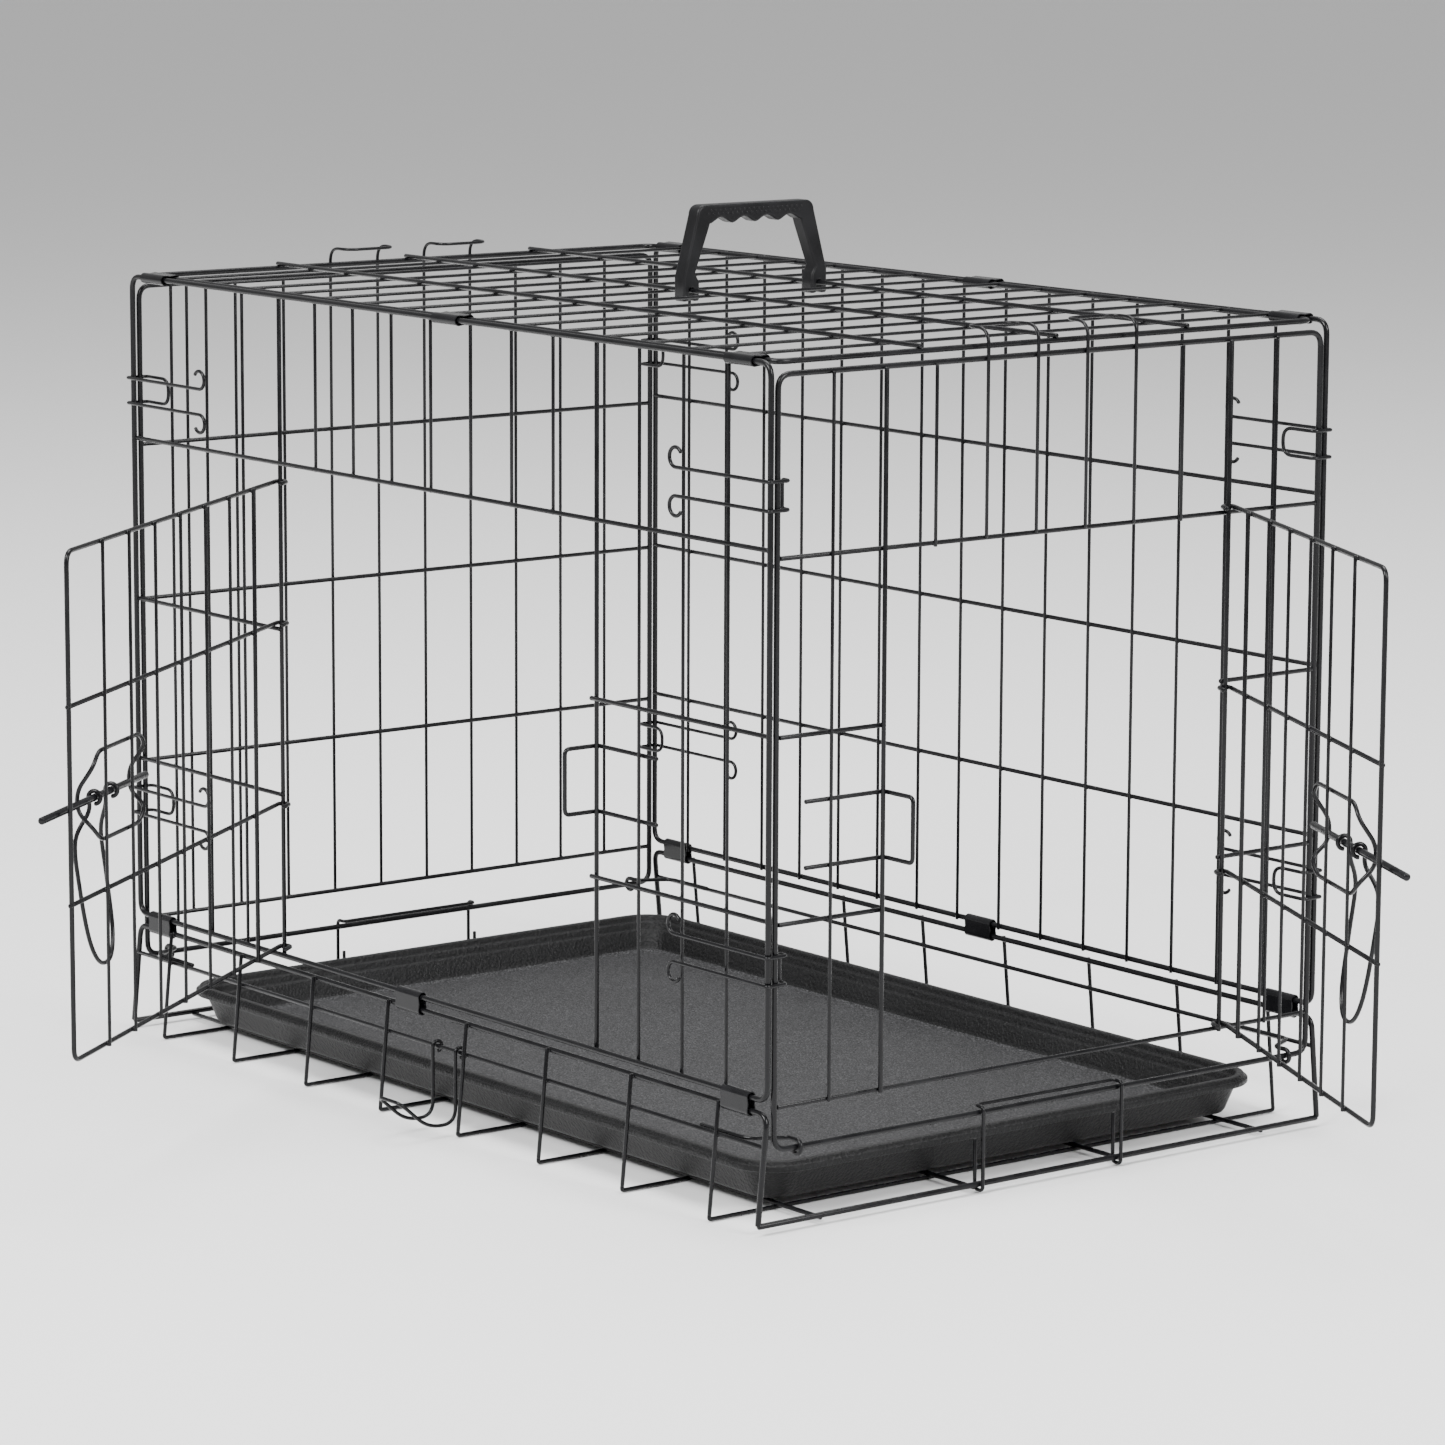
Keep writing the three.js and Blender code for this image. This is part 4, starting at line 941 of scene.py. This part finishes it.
def tray():
    """A moulded pan lofted from rounded rectangles, with a stepped, rolled rim."""
    length, width, corner = 704, 446, 34
    bottom = END_WIRE + half(FRAME_WIRE) + GAP
    top = bottom + 28.5
    profile = [
        (19.5, bottom), (17.0, bottom + 0.8), (15.2, bottom + 3.0), (8.0, top - 8.0), (6.6, top - 7.0),
        (0.8, top - 7.0), (0.0, top - 6.2), (0.0, top - 3.4), (0.6, top - 2.8), (2.0, top - 2.4),
        (2.5, top - 1.0), (3.2, top - 0.25), (4.2, top), (7.0, top), (8.0, top - 0.4), (8.6, top - 1.3),
        (8.9, top - 3.6), (9.4, top - 4.4), (11.4, top - 4.8), (12.2, top - 5.6), (12.6, top - 9.0),
        (13.2, top - 9.8), (15.0, top - 10.2), (15.8, top - 11.0), (18.6, bottom + 6.5),
        (20.0, bottom + 4.2), (22.5, bottom + 2.9), (26.0, bottom + 2.6),
    ]
    shape = Shape()
    rings = []
    for inset, z in profile:
        radius = max(corner - inset, 6)
        x, y = length / 2 - inset - radius, width / 2 - inset - radius
        points = []
        for k, (sx, sy) in enumerate(((1, 1), (-1, 1), (-1, -1), (1, -1))):
            for s in range(11):
                a = math.radians(90 * k + 9 * s)
                points.append(at(sx * x + radius * math.cos(a), sy * y + radius * math.sin(a), z))
        rings.append(shape.ring(points))
    for a, b in zip(rings, rings[1:]):
        shape.band(a, b)
    shape.faces.append(tuple(reversed(rings[0])))
    shape.faces.append(tuple(rings[-1]))
    made = shape.finish("tray_pan", "tray", "tray", TRAY, "tray_plastic", sharp=60)
    # Upward-facing floor faces take the lighter copy of the plastic: painted light falling on the floor, not
    # a different plastic.
    made.data.materials.append(TRAY_FLOOR_LIT)
    floor_height = 0.001 * (bottom + 4.5)
    for face in made.data.polygons:
        if face.center.z < floor_height and face.normal.z > 0.3:
            face.material_index = 1


front_panel()
rear_panel()
door_end()
back_end()
top_panel()
carry_handle()
base()
hinge_clips()
corners()
doors()
fold_hook()
tray_stops()
tray()

# ---- floor, light and camera ----

FLOOR_RADIUS, FLOOR_DROP = 30, 0.0005
LIGHT_TARGET = (0, 0, 0.3)
LIGHTS = (  # place, size and power
    ("key_light", (0.4, -3.4, 3.4), (2.4, 1.6), 330),
    ("side_light", (3.6, 0.4, 2.4), (1.6, 1.6), 170),
    ("top_light", (-0.6, 0.8, 4.2), (3.0, 2.4), 200),
)
WORLD_STRENGTH = 0.62
CAMERA_LENS, CAMERA_SENSOR = 138.64, 36
CAMERA_PLACE = (3093.6, -2393.7, 923.1)
CAMERA_AZIMUTH, CAMERA_ELEVATION, CAMERA_ROLL = (math.radians(a) for a in (52.092, 9.657, 0.243))


def stage_floor():
    mesh = bpy.data.meshes.new("floor")
    shape = bmesh.new()
    bmesh.ops.create_circle(shape, cap_ends=True, radius=FLOOR_RADIUS, segments=96)
    shape.to_mesh(mesh)
    shape.free()
    made, shader = node_material("studio_floor", (0.82, 0.82, 0.82), 0.75)
    shader.inputs["Specular IOR Level"].default_value = 0.2
    mesh.materials.append(made)
    floor = bpy.data.objects.new("floor", mesh)
    bpy.context.scene.collection.objects.link(floor)
    floor.location.z = -FLOOR_DROP


def area_light(name, place, target, size, power):
    data = bpy.data.lights.new(name, "AREA")
    data.shape = "RECTANGLE"
    data.size, data.size_y = size
    data.energy = power
    light = bpy.data.objects.new(name, data)
    light.location = place
    light.rotation_mode = "QUATERNION"
    light.rotation_quaternion = (Vector(target) - Vector(place)).to_track_quat("-Z", "Y")
    bpy.context.scene.collection.objects.link(light)


stage_floor()
for name, place, size, power in LIGHTS:
    area_light(name, place, LIGHT_TARGET, size, power)

world = bpy.data.worlds.new("studio")
world.use_nodes = True
world.node_tree.nodes["Background"].inputs["Color"].default_value = (1, 1, 1, 1)
world.node_tree.nodes["Background"].inputs["Strength"].default_value = WORLD_STRENGTH
bpy.context.scene.world = world

forward = Vector((-math.sin(CAMERA_AZIMUTH) * math.cos(CAMERA_ELEVATION),
                  math.cos(CAMERA_AZIMUTH) * math.cos(CAMERA_ELEVATION), -math.sin(CAMERA_ELEVATION)))
level = Vector((math.cos(CAMERA_AZIMUTH), math.sin(CAMERA_AZIMUTH), 0))
upward = level.cross(forward)
right = math.cos(CAMERA_ROLL) * level + math.sin(CAMERA_ROLL) * upward
upward = -math.sin(CAMERA_ROLL) * level + math.cos(CAMERA_ROLL) * upward
camera_data = bpy.data.cameras.new("camera")
camera_data.lens = CAMERA_LENS
camera_data.sensor_width = CAMERA_SENSOR
camera = bpy.data.objects.new("camera", camera_data)
turned = Matrix((right, upward, -forward)).transposed().to_4x4()
camera.matrix_world = TO_METRES @ MIDDLE @ Matrix.Translation(CAMERA_PLACE)
camera.matrix_world = Matrix.Translation(camera.matrix_world.translation) @ turned
bpy.context.scene.collection.objects.link(camera)
bpy.context.scene.camera = camera
